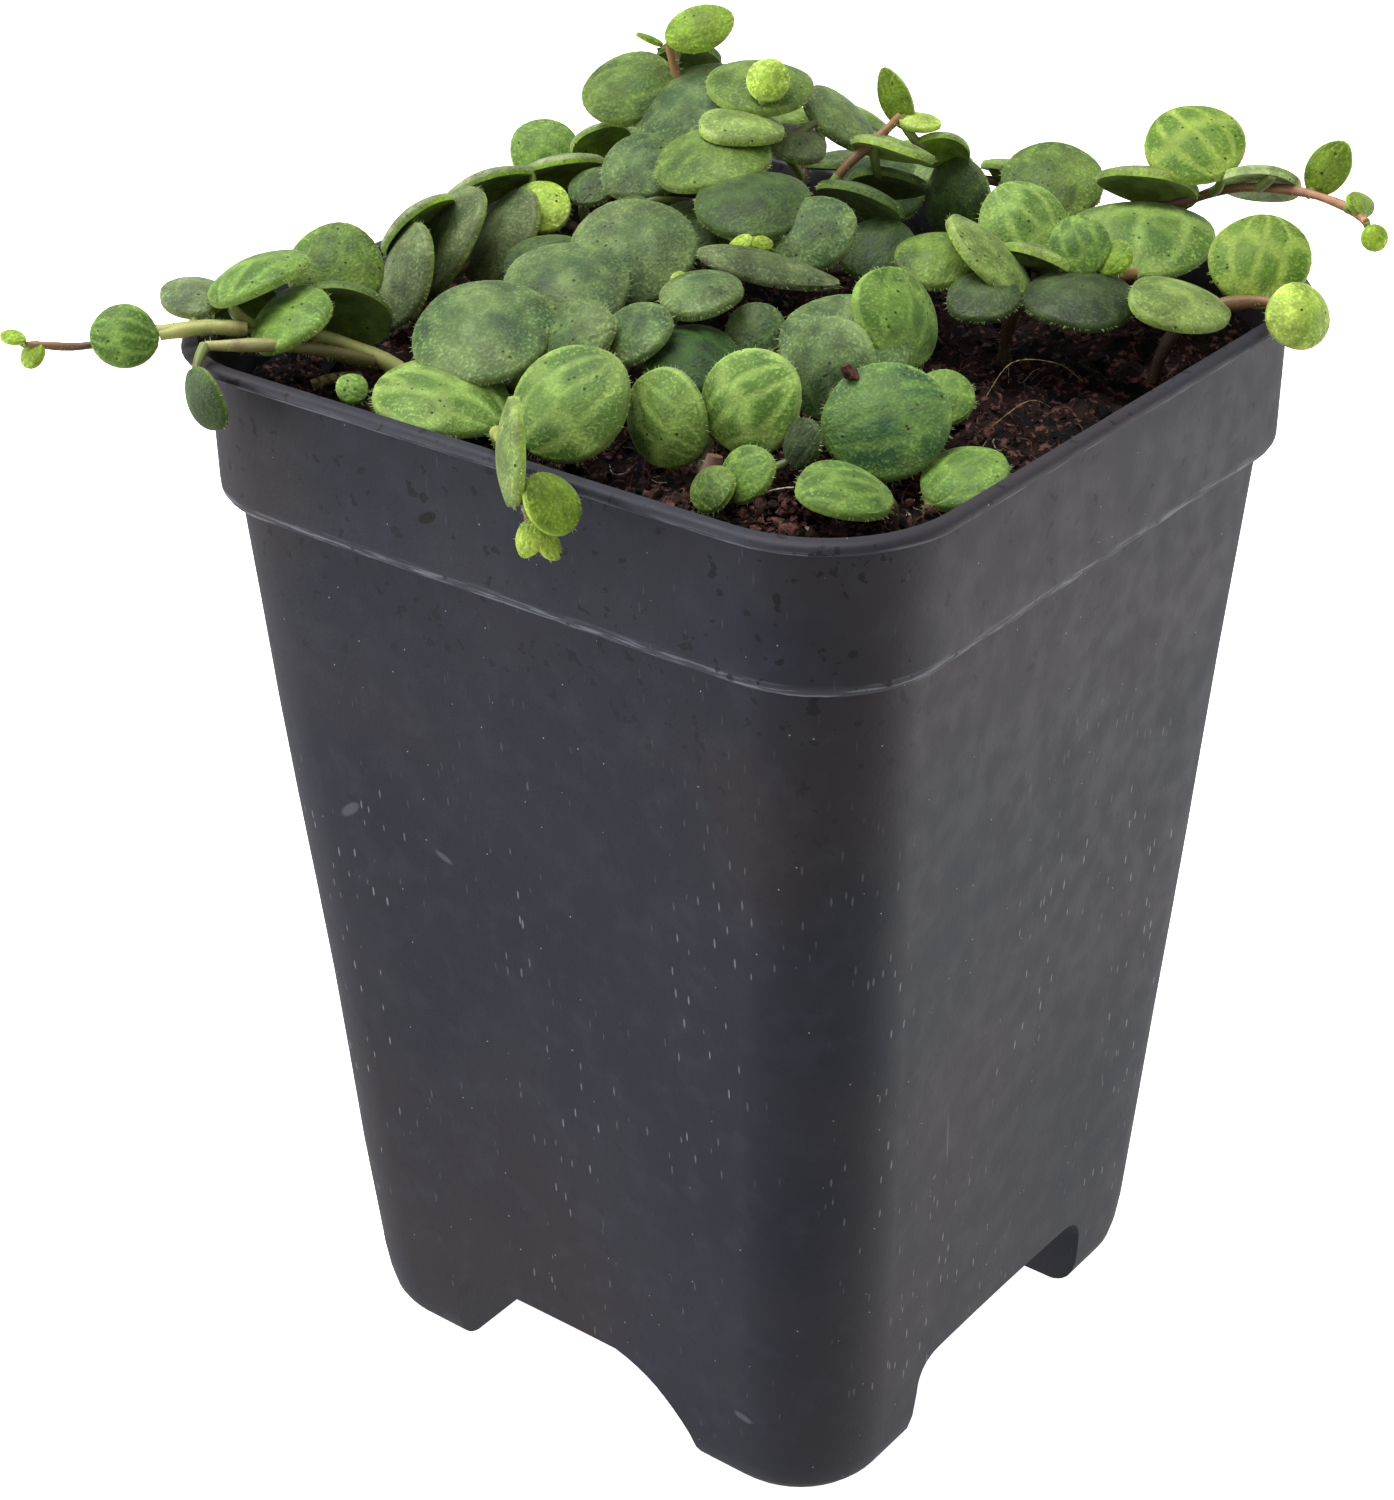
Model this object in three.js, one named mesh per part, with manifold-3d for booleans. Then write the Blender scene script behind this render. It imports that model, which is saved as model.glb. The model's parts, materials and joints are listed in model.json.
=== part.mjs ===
// A peperomia in a small square nursery pot: a thin tapered pot on four hollow feet, the soil that
// fills it, and the creeping leafy stems that root in the soil, heap up behind the middle and trail
// over the rim. Millimetres, +Z up. The origin is the middle of the pot's base, on the ground.
// The front left wall faces -Y and the front right wall faces +X.

import * as THREE from 'three';
import * as BufferGeometryUtils from 'three/addons/utils/BufferGeometryUtils.js';
import Module from 'manifold-3d';

const wasm = await Module();
wasm.setup();

// Pot
const HEIGHT = 84.7;
const WALL = 1.0;
const LIP_HALF = 31.75; // half the width over the lip of a 2.5 inch pot
const BAND_HALF = 30.25;
const BAND_BOTTOM = 73.2;
const BODY_TOP_HALF = 28.8;
const BODY_FOOT_HALF = 24.5;
const FOOT_HEIGHT = 8;
const SOLE_HALF = 21.6;
const CORNER_STEPS = 5;
const SIDE_STEPS = 2;
const CHANNEL_FOOT = 12.2; // half the width, on the ground, of a channel under the pot
// A channel's two sides, from its middle and the ground: where the side starts to curve, the corner
// that draws the curve and where it meets the flat roof. The front foot's left side slopes more.
const STEEP_SIDE = { start: [11.8, 5.4], corner: [11.7, 8], roof: 9 };
const SLOPING_SIDE = { start: [11.5, 3], corner: [9, 7], roof: 4.5 };
const DRAIN_RADIUS = 3;
const DRAIN_PLACES = [[0, 0], [15, 0], [-15, 0], [0, 15], [0, -15]];
const MIDDLE_HALF = (BODY_FOOT_HALF + BODY_TOP_HALF) / 2;
const MIDDLE_HEIGHT = 40;
const MIDDLE_BOW = 0.7; // how far the flat sides are drawn in there

// Soil
const GAP = 0.3; // between the soil and what it touches
const SOIL_LEVEL = 80.2;
const HOLE_LENGTH = 20; // of what cuts a stem's hole into the soil, from just below the stem's foot
const SOIL_RINGS = [1, 0.9, 0.76, 0.6, 0.44, 0.28, 0.12]; // rings of its top, as parts of its width
const CORNER_HEAP = { x: 20, y: -26, height: 3, radius: 8 };

// Leaves and stems. Their places are written across the pot's diagonal, which runs from the left
// corner to the right one: millimetres to the right, to the front and up from the middle of the base.
const DIAGONAL = THREE.MathUtils.degToRad(38);
const BLADE_SIDES = 10;
const BLADE_EDGE = 0.6;
const BLADE_MIDDLE = 0.9;
const UNDERSIDE = 0.97; // width of a blade's underside, as a part of the blade's
const CUP = 0.26; // rise of a blade's middle over its edge, as a part of its half width
const STALK_RADIUS = 0.42;
const ROOTED = 0.8; // how far a stalk runs into its blade
const STALK_SIDES = 3;
const STEM_SIDES = 5;
const STEM_STEP = 4;

const POT_COLOUR = 0x3c3c46;
const SOIL_COLOUR = 0x2a201b;
const LEAF_COLOURS = { dull: 0x5f8658, fresh: 0x7fa650, dry: 0x8f8a66 };

// Each leafy stem has its woody paths, the first of which starts below the soil, and its leaves.
// A leaf is [right, front, up, width, faces, lean, length over width]: the middle of its blade, the
// way that it faces, in degrees from the front to the right, and its lean from lying flat.
const LEAFY_STEMS = [
  {
    name: 'left_runner',
    tone: 'fresh',
    stems: [
      {
        radius: 0.56,
        path: [
          [-24, 6, 77], [-24, 6, 81.5], [-29, 5, 84.2],
          [-35, 5.5, 85.7], [-40, 6, 85.8], [-44, 6, 85.5],
        ],
      },
      { radius: 0.3, path: [[-43, 6, 85.5], [-47, 7, 85], [-50.5, 8, 85.6]] },
      { radius: 0.5, path: [[-27, 6, 83.2], [-32, 8.5, 85.4], [-38, 9.5, 85.9]] },
    ],
    leaves: [
      [-44, 7, 85.8, 4.6, 5, 50],
      [-39.5, 3, 87.3, 4.8, 25, 12],
      [-35, 3.5, 89, 7.6, -85, 20],
      [-36.4, 1, 85.6, 5, -150, 65],
      [-32.6, 6.5, 86.8, 6.3, -60, 32],
      [-29, 3, 86, 6.8, 175, 60],
      [-30, -1, 87.6, 7, 0, 45],
      [-51.4, 8, 86.2, 1.3, 25, 20, 1.4],
      [-50.3, 8, 84.9, 2, -40, 50],
      [-38, 12.9, 83.3, 4.2, -50, 90, 1.1],
    ],
  },
  {
    name: 'left_sprout',
    tone: 'fresh',
    stems: [{ radius: 0.35, path: [[-26.5, 12, 77], [-26.5, 12, 81], [-27.4, 12.5, 83.2]] }],
    leaves: [[-27.7, 13, 84.1, 2.2, 10, 45]],
  },
  {
    name: 'left_rim_stem',
    tone: 'dull',
    stems: [
      {
        radius: 0.5,
        path: [
          [-10, -14, 77], [-10.5, -14, 82], [-13.5, -14, 86],
          [-17, -14, 85.6], [-21, -12, 84], [-25, -8, 82.3],
        ],
      },
      { radius: 0.4, path: [[-12, -14, 85.5], [-13, -19, 86.5], [-13.5, -23, 87.5]] },
    ],
    leaves: [
      [-25.8, -6.2, 85.2, 8, -70, 70],
      [-22.7, -10.2, 86.3, 8.8, -73, 60],
      [-18.9, -12, 86.1, 8.2, -70, 52],
      [-25, -10, 88, 6.6, -125, 50],
      [-20, -16, 88.6, 7.2, -145, 38],
      [-14.3, -18.5, 89, 6.7, -165, 37],
      [-15.8, -24, 88.7, 5.4, 0, 50],
      [-11.5, -23, 89.7, 4.8, -160, 60],
      [-12, -14.5, 89, 3.6, -25, 30],
      [-15.7, -13.4, 87.9, 4.4, 5, 40],
    ],
  },
  {
    name: 'middle_left_stem',
    tone: 'dull',
    stems: [
      { radius: 0.5, path: [[-12, 7, 77], [-12, 7, 82], [-12, 6, 84.5], [-9, 2, 86], [-6, -2, 87]] },
      { radius: 0.5, path: [[-12, 6.5, 84], [-17, 12, 83.6], [-22, 16, 82.6]] },
      { radius: 0.4, path: [[-11, 5, 84.5], [-8, 8.5, 85.8], [-5.8, 8.8, 87]] },
      { radius: 0.4, path: [[-12, 7, 83], [-16, 4, 84], [-19, 1, 84.2]] },
    ],
    leaves: [
      [-21.4, 15.5, 84.7, 9.2, 30, 15],
      [-18.8, 11, 87.4, 10, -20, 23],
      [-13.3, 6, 88.7, 9, -10, 28],
      [-8.7, 1, 89.6, 9.2, -8, 36],
      [-12.4, 13.2, 88, 5.2, -45, 45],
      [-8.4, 12.8, 88, 5.2, -50, 30],
      [-4, 9.5, 89.5, 5.6, -45, 15],
      [-5.4, 6.5, 89.2, 1.3, 0, 40],
      [-20.6, 2.6, 86, 6.2, -60, 18],
      [-15.2, -4, 87, 6, -30, 22],
    ],
  },
  {
    name: 'front_drooping_stem',
    tone: 'fresh',
    stems: [
      {
        radius: 0.42,
        path: [
          [-17, 20, 77], [-17, 20, 81.5], [-17.4, 23.5, 85],
          [-16.8, 27.5, 86.4], [-15.8, 31, 85.4], [-14.6, 32.5, 82.4],
        ],
      },
    ],
    leaves: [
      [-12.8, 20, 85.8, 8.2, -30, 54],
      [-16.1, 31, 87, 6.9, -85, 88],
      [-13.3, 33.5, 84.7, 4.1, 50, 48],
      [-15, 33, 82, 1.8, -30, 75, 1.5],
      [-13.6, 33, 81.5, 1.5, 40, 70, 1.5],
    ],
  },
  {
    name: 'crown_stems',
    tone: 'fresh',
    stems: [
      {
        radius: 0.5,
        path: [
          [-1, -10, 77], [-1, -10, 84], [-1, -12, 89],
          [-3, -16, 92], [-5.2, -19.5, 95], [-6, -20, 98.2],
        ],
      },
      { radius: 0.4, path: [[-1, -12, 88.5], [1, -13, 91.5], [0.5, -12.5, 94]] },
      { radius: 0.4, path: [[-1, -10.5, 86], [1, -5, 87.5], [1, 0, 88.2]] },
      { radius: 0.25, path: [[0.5, -12.5, 94], [0.3, -12, 95.8], [0.9, -12, 97]] },
    ],
    leaves: [
      [-9.2, -20, 95, 7, -20, 32],
      [-3.8, -20, 99.4, 3.9, -10, 40, 1.4],
      [-7.4, -20, 98.6, 0.9, 80, 25, 2.4],
      [-4.5, -23, 96.4, 5, 170, 40],
      [-4.4, -17, 94.5, 9.2, -50, 29],
      [0.7, -15, 96.6, 8, 10, 12],
      [1.2, -12, 97.7, 3.2, 0, 56],
      [-0.7, -11, 94.8, 6.3, 88, 8],
      [3.3, -14, 92.5, 4.8, 33, 18],
      [6.9, -18, 93, 6.5, 70, 38],
      [-7.9, -12, 91.4, 6.5, -6, 25],
      [-2.9, -9, 92.9, 8.6, -34, 12],
      [-0.1, -3, 91.7, 8.4, 0, 18],
      [4, 0, 90.3, 6.2, -22, 37],
      [-1.2, 2, 90, 1.6, -40, 45, 1.4],
      [0.5, 2, 90.2, 1.2, 40, 40, 1.4],
      [-4.6, -5.4, 88.6, 6, -10, 25],
      [-10, -7.4, 89, 5, -60, 25],
    ],
  },
  {
    name: 'right_tip_stem',
    tone: 'fresh',
    stems: [
      {
        radius: 0.42,
        path: [
          [6, -9, 77], [6, -9, 83], [5, -10, 87],
          [6.3, -10, 91], [9.3, -11, 93.6], [10.9, -11.6, 95],
        ],
      },
      { radius: 0.42, path: [[6, -9, 84], [9.5, -6, 85.5], [13.5, -5.5, 86]] },
    ],
    leaves: [
      [10.5, -12, 96, 2.4, -20, 85, 2.05],
      [12.2, -11.2, 94.8, 2.2, 0, 15, 1.5],
      [13.9, -12, 92.4, 4.4, 175, 48],
      [10.3, -9.5, 93.3, 5, 145, 30, 1.5],
      [10.2, -14, 89.4, 6, 170, 33],
      [7.9, -7.5, 90.4, 5.6, 143, 38, 1.35],
      [14.9, -11, 88.8, 6.1, -45, 80],
      [12.9, -1, 88, 6, -7, 17],
      [8.9, -3, 88, 5.7, -5, 25],
    ],
  },
  {
    name: 'right_mound_stem',
    tone: 'fresh',
    stems: [
      { radius: 0.5, path: [[18, 0, 77], [18, 0, 82], [19, 1, 85.4], [23, 1.5, 86.9], [27, 0, 86.9]] },
      { radius: 0.4, path: [[19, 1, 84.5], [20, -5, 86], [22, -11, 86.6]] },
    ],
    leaves: [
      [16.9, 0, 88.3, 8, 85, 42],
      [19.5, -4, 89.4, 6.6, 13, 46],
      [20.8, -1.5, 87.4, 6.6, 138, 36],
      [22.7, -15.5, 88.7, 7.8, -9, 36],
      [28.2, -6, 88, 10.8, -6, 15],
      [22.9, 0.5, 89.3, 4.4, -8, 50],
      [25.2, 1, 88.5, 2.8, -37, 42],
      [15.9, 3.9, 86.9, 5.2, -9, 17],
      [22.6, 3.6, 86.6, 8, 0, 8],
    ],
  },
  {
    name: 'right_lower_runner',
    tone: 'fresh',
    stems: [
      {
        radius: 0.5,
        path: [[28, 4, 77], [28.5, 4, 82], [31, 3.5, 85.2], [35, 3.5, 86], [37, 4.5, 86]],
      },
    ],
    leaves: [
      [35.7, 0.5, 88.2, 7.3, -13, 43],
      [37.8, 6, 85.9, 5, 25, 55],
      [29.6, 5.4, 86.9, 6.8, 85, 20, 1.4],
    ],
  },
  {
    name: 'right_upper_runner',
    tone: 'fresh',
    stems: [
      {
        radius: 0.38,
        path: [
          [27, -14, 77], [27.5, -14, 83], [29, -12.5, 86.8], [32, -11, 88.4],
          [35, -9.5, 89.9], [38.8, -6, 90.9], [41.7, -2.5, 91], [43, 0.5, 90.7],
        ],
      },
    ],
    leaves: [
      [32.4, -10.5, 93.2, 7.4, -12, 32],
      [29.4, -11.5, 89.9, 7.6, 154, 40],
      [37, -8.5, 90.9, 6, 160, 33, 1.3],
      [41.2, -5.5, 92.6, 3.1, -25, 80, 1.45],
      [43, -1.5, 91.4, 2.1, 60, 45, 1.6],
      [43.5, 1.5, 89.9, 1.9, 0, 60],
    ],
  },
  {
    name: 'front_middle_stem',
    tone: 'fresh',
    stems: [
      {
        radius: 0.5,
        path: [[-4, 23, 77], [-4, 23, 81.5], [-3.6, 21.5, 83.4], [-3, 18, 84.2], [-3.5, 14, 84.6]],
      },
      { radius: 0.4, path: [[-3.8, 22.5, 82.5], [-3, 26, 83], [-2.5, 29, 83.2]] },
    ],
    leaves: [
      [-4.6, 13.8, 86.4, 6.5, 2, 22],
      [-6.5, 21, 84.9, 6.7, -40, 80],
      [-0.2, 10.4, 87, 4.2, 0, 40],
      [-1, 23, 86.8, 7, -34, 74],
      [2.2, 26, 85.2, 3.3, -54, 75],
      [-1.4, 30, 84.9, 3.9, -47, 53],
      [-3.5, 31, 84.4, 3.2, -50, 45],
    ],
  },
  {
    name: 'front_right_stem',
    tone: 'dull',
    stems: [
      { radius: 0.5, path: [[8, 18, 77], [8, 18, 81.5], [7.5, 16.5, 83.6], [7, 13, 84.4]] },
      { radius: 0.4, path: [[8, 17.8, 82.5], [10, 20, 83], [12, 20.5, 82.8]] },
    ],
    leaves: [
      [5.7, 13.5, 87.2, 8.8, -4, 26],
      [4.4, 18, 87, 6.9, -36, 72],
      [8, 23, 85.6, 8.3, -4, 44],
      [9.4, 12, 88.4, 7.2, 48, 54],
      [12.1, 17.8, 85, 4.2, -6, 38],
    ],
  },
  {
    name: 'corner_leaf',
    tone: 'fresh',
    stems: [{ radius: 0.4, path: [[8, 31, 79], [8, 31, 82.5], [7.2, 31.6, 84.2]] }],
    leaves: [[5, 33, 85.2, 5.6, 70, 22, 1.2]],
  },
  {
    name: 'corner_sprout',
    tone: 'fresh',
    stems: [{ radius: 0.4, path: [[10.5, 27.5, 77], [10.5, 27.5, 80.5], [10.5, 27.5, 81.6]] }],
    leaves: [[12.8, 26.1, 83, 5.8, -42, 24]],
  },
  {
    name: 'back_left_stem',
    tone: 'dull',
    stems: [
      {
        radius: 0.45,
        path: [[-7, -27.5, 77], [-7, -27.5, 82], [-7.5, -30.5, 85.2], [-5.5, -34, 86], [-4.2, -38, 86]],
      },
    ],
    leaves: [
      [-11.3, -29, 87.6, 6.2, -120, 26],
      [-3.8, -30, 88.2, 6.6, 150, 20],
      [-8.6, -35, 87.4, 6, -140, 28],
      [-1.4, -36, 87.6, 6.2, 165, 24],
      [-5.4, -40.6, 87, 5.4, 180, 30],
    ],
  },
  {
    name: 'back_stem',
    tone: 'dull',
    stems: [
      {
        radius: 0.45,
        path: [
          [4, -26, 77], [4, -26, 82.5], [4.6, -28.5, 85.6],
          [6, -33, 86.4], [5.8, -38, 86.6], [5.6, -41.2, 84.6],
        ],
      },
    ],
    leaves: [
      [0.6, -24.5, 88.6, 6.6, -170, 18],
      [3.2, -31, 88.8, 6, -160, 25],
      [8.8, -34.6, 88, 5.6, 150, 30],
      [3.4, -40, 86, 4.2, -170, 50],
      [7.8, -40.6, 85.4, 3.6, 150, 60],
      [5.6, -42.2, 83, 2, 180, 75],
    ],
  },
  {
    name: 'back_right_stem',
    tone: 'dull',
    stems: [
      {
        radius: 0.45,
        path: [[11, -23, 77], [11, -23, 82], [12.5, -25.5, 84.8], [16.5, -25, 85.8], [21, -22.5, 86]],
      },
    ],
    leaves: [
      [7.6, -24.5, 87.6, 6.2, 170, 20],
      [10.2, -18.4, 87.4, 6.4, 5, 30],
      [10.2, -29.3, 87.4, 6, 150, 26],
      [14.6, -21.6, 87.6, 6.4, 120, 15],
      [15, -27.4, 87.2, 5.8, 140, 28],
      [20.8, -23.4, 86.9, 5.4, 135, 28],
      [24.8, -20.4, 87.2, 5.4, 110, 30],
    ],
  },
  {
    name: 'dry_leaf',
    tone: 'dry',
    stems: [],
    leaves: [[0.7, 5.5, 89.8, 3.8, 50, 20, 2.7]],
  },
];

// Turns [right, front, up] into the pot's own axes.
function spot([right, front, up]) {
  const c = Math.cos(DIAGONAL);
  const s = Math.sin(DIAGONAL);
  return new THREE.Vector3(right * c + front * s, right * s - front * c, up);
}

// The direction that a blade's upper face looks in.
function facing(faces, lean) {
  const f = THREE.MathUtils.degToRad(faces);
  const l = THREE.MathUtils.degToRad(lean);
  return spot([Math.sin(l) * Math.sin(f), Math.sin(l) * Math.cos(f), Math.cos(l)]);
}

// A solid from a closed geometry: equal corners are merged and triangles without area dropped.
function solid(geometry) {
  const bare = geometry.clone();
  bare.deleteAttribute('normal');
  bare.deleteAttribute('uv');
  const merged = BufferGeometryUtils.mergeVertices(bare, 1e-4);
  const index = merged.index.array;
  const kept = [];
  for (let i = 0; i < index.length; i += 3) {
    const [a, b, c] = index.subarray(i, i + 3);
    if (a !== b && b !== c && c !== a) kept.push(a, b, c);
  }
  const mesh = new wasm.Mesh({
    numProp: 3,
    vertProperties: new Float32Array(merged.attributes.position.array),
    triVerts: new Uint32Array(kept),
  });
  return new wasm.Manifold(mesh);
}

function join(solids) {
  return solids.reduce((whole, next) => whole.add(next));
}

function meshOf(body, name, colour, roughness) {
  const { vertProperties, triVerts } = body.getMesh();
  const geometry = new THREE.BufferGeometry();
  geometry.setAttribute('position', new THREE.BufferAttribute(vertProperties, 3));
  geometry.setIndex(new THREE.BufferAttribute(triVerts, 1));
  geometry.computeVertexNormals();
  const material = new THREE.MeshStandardMaterial({ color: colour, roughness, metalness: 0 });
  const mesh = new THREE.Mesh(geometry, material);
  mesh.name = name;
  return mesh;
}

// A square with round corners, its sides drawn in by bow at their middles.
function roundedSquare(half, radius, z, bow = 0) {
  const points = [];
  for (let corner = 0; corner < 4; corner++) {
    const turn = (corner * Math.PI) / 2;
    const c = Math.cos(turn);
    const s = Math.sin(turn);
    const put = (x, y) => points.push(new THREE.Vector3(x * c - y * s, x * s + y * c, z));
    for (let i = 0; i <= CORNER_STEPS; i++) {
      const a = (i / CORNER_STEPS - 1) * (Math.PI / 2);
      put(half - radius + radius * Math.cos(a), radius - half + radius * Math.sin(a));
    }
    for (let i = 1; i < SIDE_STEPS; i++) {
      const along = (i / SIDE_STEPS) * 2 - 1;
      put(half - bow * (1 - along * along), along * (half - radius));
    }
  }
  return points;
}

// Joins rings of equally many points into one closed skin, the first ring at the bottom.
function loft(rings) {
  const n = rings[0].length;
  const middle = (ring) => ring.reduce((sum, p) => sum.add(p), new THREE.Vector3()).divideScalar(n);
  const points = [...rings.flat(), middle(rings[0]), middle(rings.at(-1))];
  const index = [];
  for (let r = 0; r + 1 < rings.length; r++) {
    for (let i = 0; i < n; i++) {
      const a = r * n + i;
      const b = r * n + ((i + 1) % n);
      index.push(a, b, b + n, a, b + n, a + n);
    }
  }
  const last = (rings.length - 1) * n;
  for (let i = 0; i < n; i++) {
    const j = (i + 1) % n;
    index.push(rings.length * n, j, i, rings.length * n + 1, last + i, last + j);
  }
  const geometry = new THREE.BufferGeometry().setFromPoints(points);
  geometry.setIndex(index);
  return geometry;
}

// The tapered inside of the pot, drawn in by inset from the inner face of its walls.
function insideSquares(inset) {
  const wall = WALL + inset;
  return [
    roundedSquare(SOLE_HALF - wall, 4.2 - inset, wall),
    roundedSquare(BODY_FOOT_HALF - 0.6 - wall, 6.6 - inset, 3.4 + inset),
    roundedSquare(BODY_FOOT_HALF + 0.1 - wall, 7 - inset, FOOT_HEIGHT + 2, 0.3),
    roundedSquare(MIDDLE_HALF - wall, 7 - inset, MIDDLE_HEIGHT, MIDDLE_BOW),
    roundedSquare(BODY_TOP_HALF - wall, 7 - inset, BAND_BOTTOM - 0.4 + inset, 0.2),
    roundedSquare(BODY_TOP_HALF - inset, 8 - inset, BAND_BOTTOM + WALL - 0.1 + inset),
    roundedSquare(BAND_HALF - wall, 8.3 - inset, BAND_BOTTOM + WALL + 0.8 + inset),
  ];
}

// One channel under the pot, along Y, higher and wider by wall.
function channel(wall, right, left) {
  const profile = new THREE.Shape();
  const reach = LIP_HALF + 5;
  const below = 4;
  const foot = CHANNEL_FOOT + wall;
  const roof = FOOT_HEIGHT + wall;
  profile.moveTo(-foot, -below);
  profile.lineTo(foot, -below);
  profile.lineTo(foot, 0);
  profile.lineTo(right.start[0] + wall, right.start[1]);
  profile.quadraticCurveTo(right.corner[0] + wall, right.corner[1] + wall, right.roof, roof);
  const [startX, startZ] = left.start;
  const [cornerX, cornerZ] = left.corner;
  profile.lineTo(-left.roof, roof);
  profile.quadraticCurveTo(-cornerX - wall, cornerZ + wall, -startX - wall, startZ);
  profile.lineTo(-foot, 0);
  const options = { depth: 2 * reach, bevelEnabled: false, curveSegments: 4 };
  const bar = new THREE.ExtrudeGeometry(profile, options);
  bar.translate(0, 0, -reach);
  bar.rotateX(Math.PI / 2);
  return bar;
}

// The two channels that cross under the pot between its feet, higher and wider by wall.
function channels(wall) {
  const along = solid(channel(wall, SLOPING_SIDE, STEEP_SIDE));
  const across = solid(channel(wall, STEEP_SIDE, STEEP_SIDE).rotateZ(Math.PI / 2));
  return along.add(across);
}

function makePot() {
  const outside = loft([
    roundedSquare(SOLE_HALF, 5.2, 0),
    roundedSquare(SOLE_HALF + 1.1, 6.4, 0.45),
    roundedSquare(SOLE_HALF + 1.9, 7.2, 1.3),
    roundedSquare(BODY_FOOT_HALF - 0.5, 7.8, 3),
    roundedSquare(BODY_FOOT_HALF, 8, FOOT_HEIGHT, 0.3),
    roundedSquare(MIDDLE_HALF, 8, MIDDLE_HEIGHT, MIDDLE_BOW),
    roundedSquare(BODY_TOP_HALF, 8, BAND_BOTTOM, 0.2),
    roundedSquare(BAND_HALF - 0.8, 8.8, BAND_BOTTOM),
    roundedSquare(BAND_HALF - 0.05, 9.3, BAND_BOTTOM + 0.8),
    roundedSquare(BAND_HALF + 0.05, 9.4, HEIGHT - 1.4),
    roundedSquare(LIP_HALF - 0.3, 10, HEIGHT - 1),
    roundedSquare(LIP_HALF, 10, HEIGHT - 0.6),
    roundedSquare(LIP_HALF - 0.2, 10, HEIGHT - 0.15),
    roundedSquare(LIP_HALF - 0.5, 9.8, HEIGHT),
    roundedSquare(LIP_HALF - 1, 9.4, HEIGHT),
  ]);
  const inside = loft([
    ...insideSquares(0),
    roundedSquare(BAND_HALF - WALL + 0.1, 8.4, HEIGHT - 3),
    roundedSquare(BAND_HALF - WALL + 0.4, 8.6, HEIGHT - 1.6),
    roundedSquare(LIP_HALF - 1.15, 9.1, HEIGHT - 0.2),
    roundedSquare(LIP_HALF - 1, 9.3, HEIGHT + 1),
  ]);
  const drain = new THREE.CylinderGeometry(DRAIN_RADIUS, DRAIN_RADIUS, 8, 16);
  drain.rotateX(Math.PI / 2);
  const drains = DRAIN_PLACES.map(([x, y]) => solid(drain.clone().translate(x, y, FOOT_HEIGHT)));
  const body = solid(outside)
    .subtract(channels(0))
    .subtract(solid(inside).subtract(channels(WALL)))
    .subtract(join(drains));
  return meshOf(body, 'pot', POT_COLOUR, 0.75);
}

// The soil's rough level: two crossing ripples and a heap in the front corner.
function soilHeight(x, y) {
  const ripple = 0.35 * Math.sin(0.62 * x + 1.3) * Math.cos(0.55 * y) + 0.25 * Math.sin(0.9 * y - 0.5 * x);
  const away = Math.hypot(x - CORNER_HEAP.x, y - CORNER_HEAP.y) / CORNER_HEAP.radius;
  return SOIL_LEVEL + ripple + CORNER_HEAP.height * Math.exp(-away * away);
}

function makeSoil(roots) {
  const top = SOIL_RINGS.map((part) => {
    const ring = roundedSquare(BAND_HALF - WALL - GAP, 8, SOIL_LEVEL);
    return ring.map((p) => new THREE.Vector3(p.x * part, p.y * part, soilHeight(p.x * part, p.y * part)));
  });
  const fill = solid(loft([...insideSquares(GAP), ...top])).subtract(channels(WALL + GAP));
  const holes = roots.map(({ at, radius }) => {
    const wide = radius + 1.5 * GAP;
    const hole = new THREE.CylinderGeometry(wide, wide, HOLE_LENGTH, 8);
    hole.rotateX(Math.PI / 2);
    return solid(hole.translate(at.x, at.y, at.z + HOLE_LENGTH / 2 - GAP));
  });
  return meshOf(fill.subtract(join(holes)), 'soil', SOIL_COLOUR, 1);
}

// A tube along a path.
function tube(path, radius, sides, steps) {
  const corners = Array.from({ length: sides }, (_, i) => {
    const a = (i / sides) * 2 * Math.PI;
    return new THREE.Vector2(radius * Math.cos(a), radius * Math.sin(a));
  });
  const options = { steps, extrudePath: path, bevelEnabled: false };
  return new THREE.ExtrudeGeometry(new THREE.Shape(corners), options);
}

// A round, cupped blade about its own middle, lying flat: its base toward -X, its upper face up.
function bladeShape(width, long) {
  const half = width / 2;
  const rise = half * CUP;
  const profile = [
    new THREE.Vector2(0, rise - BLADE_MIDDLE),
    new THREE.Vector2(half * UNDERSIDE, -BLADE_EDGE),
    new THREE.Vector2(half, 0),
    new THREE.Vector2(0, rise),
  ];
  const blade = new THREE.LatheGeometry(profile, BLADE_SIDES);
  blade.rotateX(Math.PI / 2);
  blade.scale(long, 1, 1);
  return blade;
}

// The point of the stems that lies nearest to a blade's middle.
function nearest(curves, middle) {
  const all = curves.flatMap((curve) => curve.getPoints(40));
  return all.reduce((best, p) => (p.distanceTo(middle) < best.distanceTo(middle) ? p : best));
}

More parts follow.
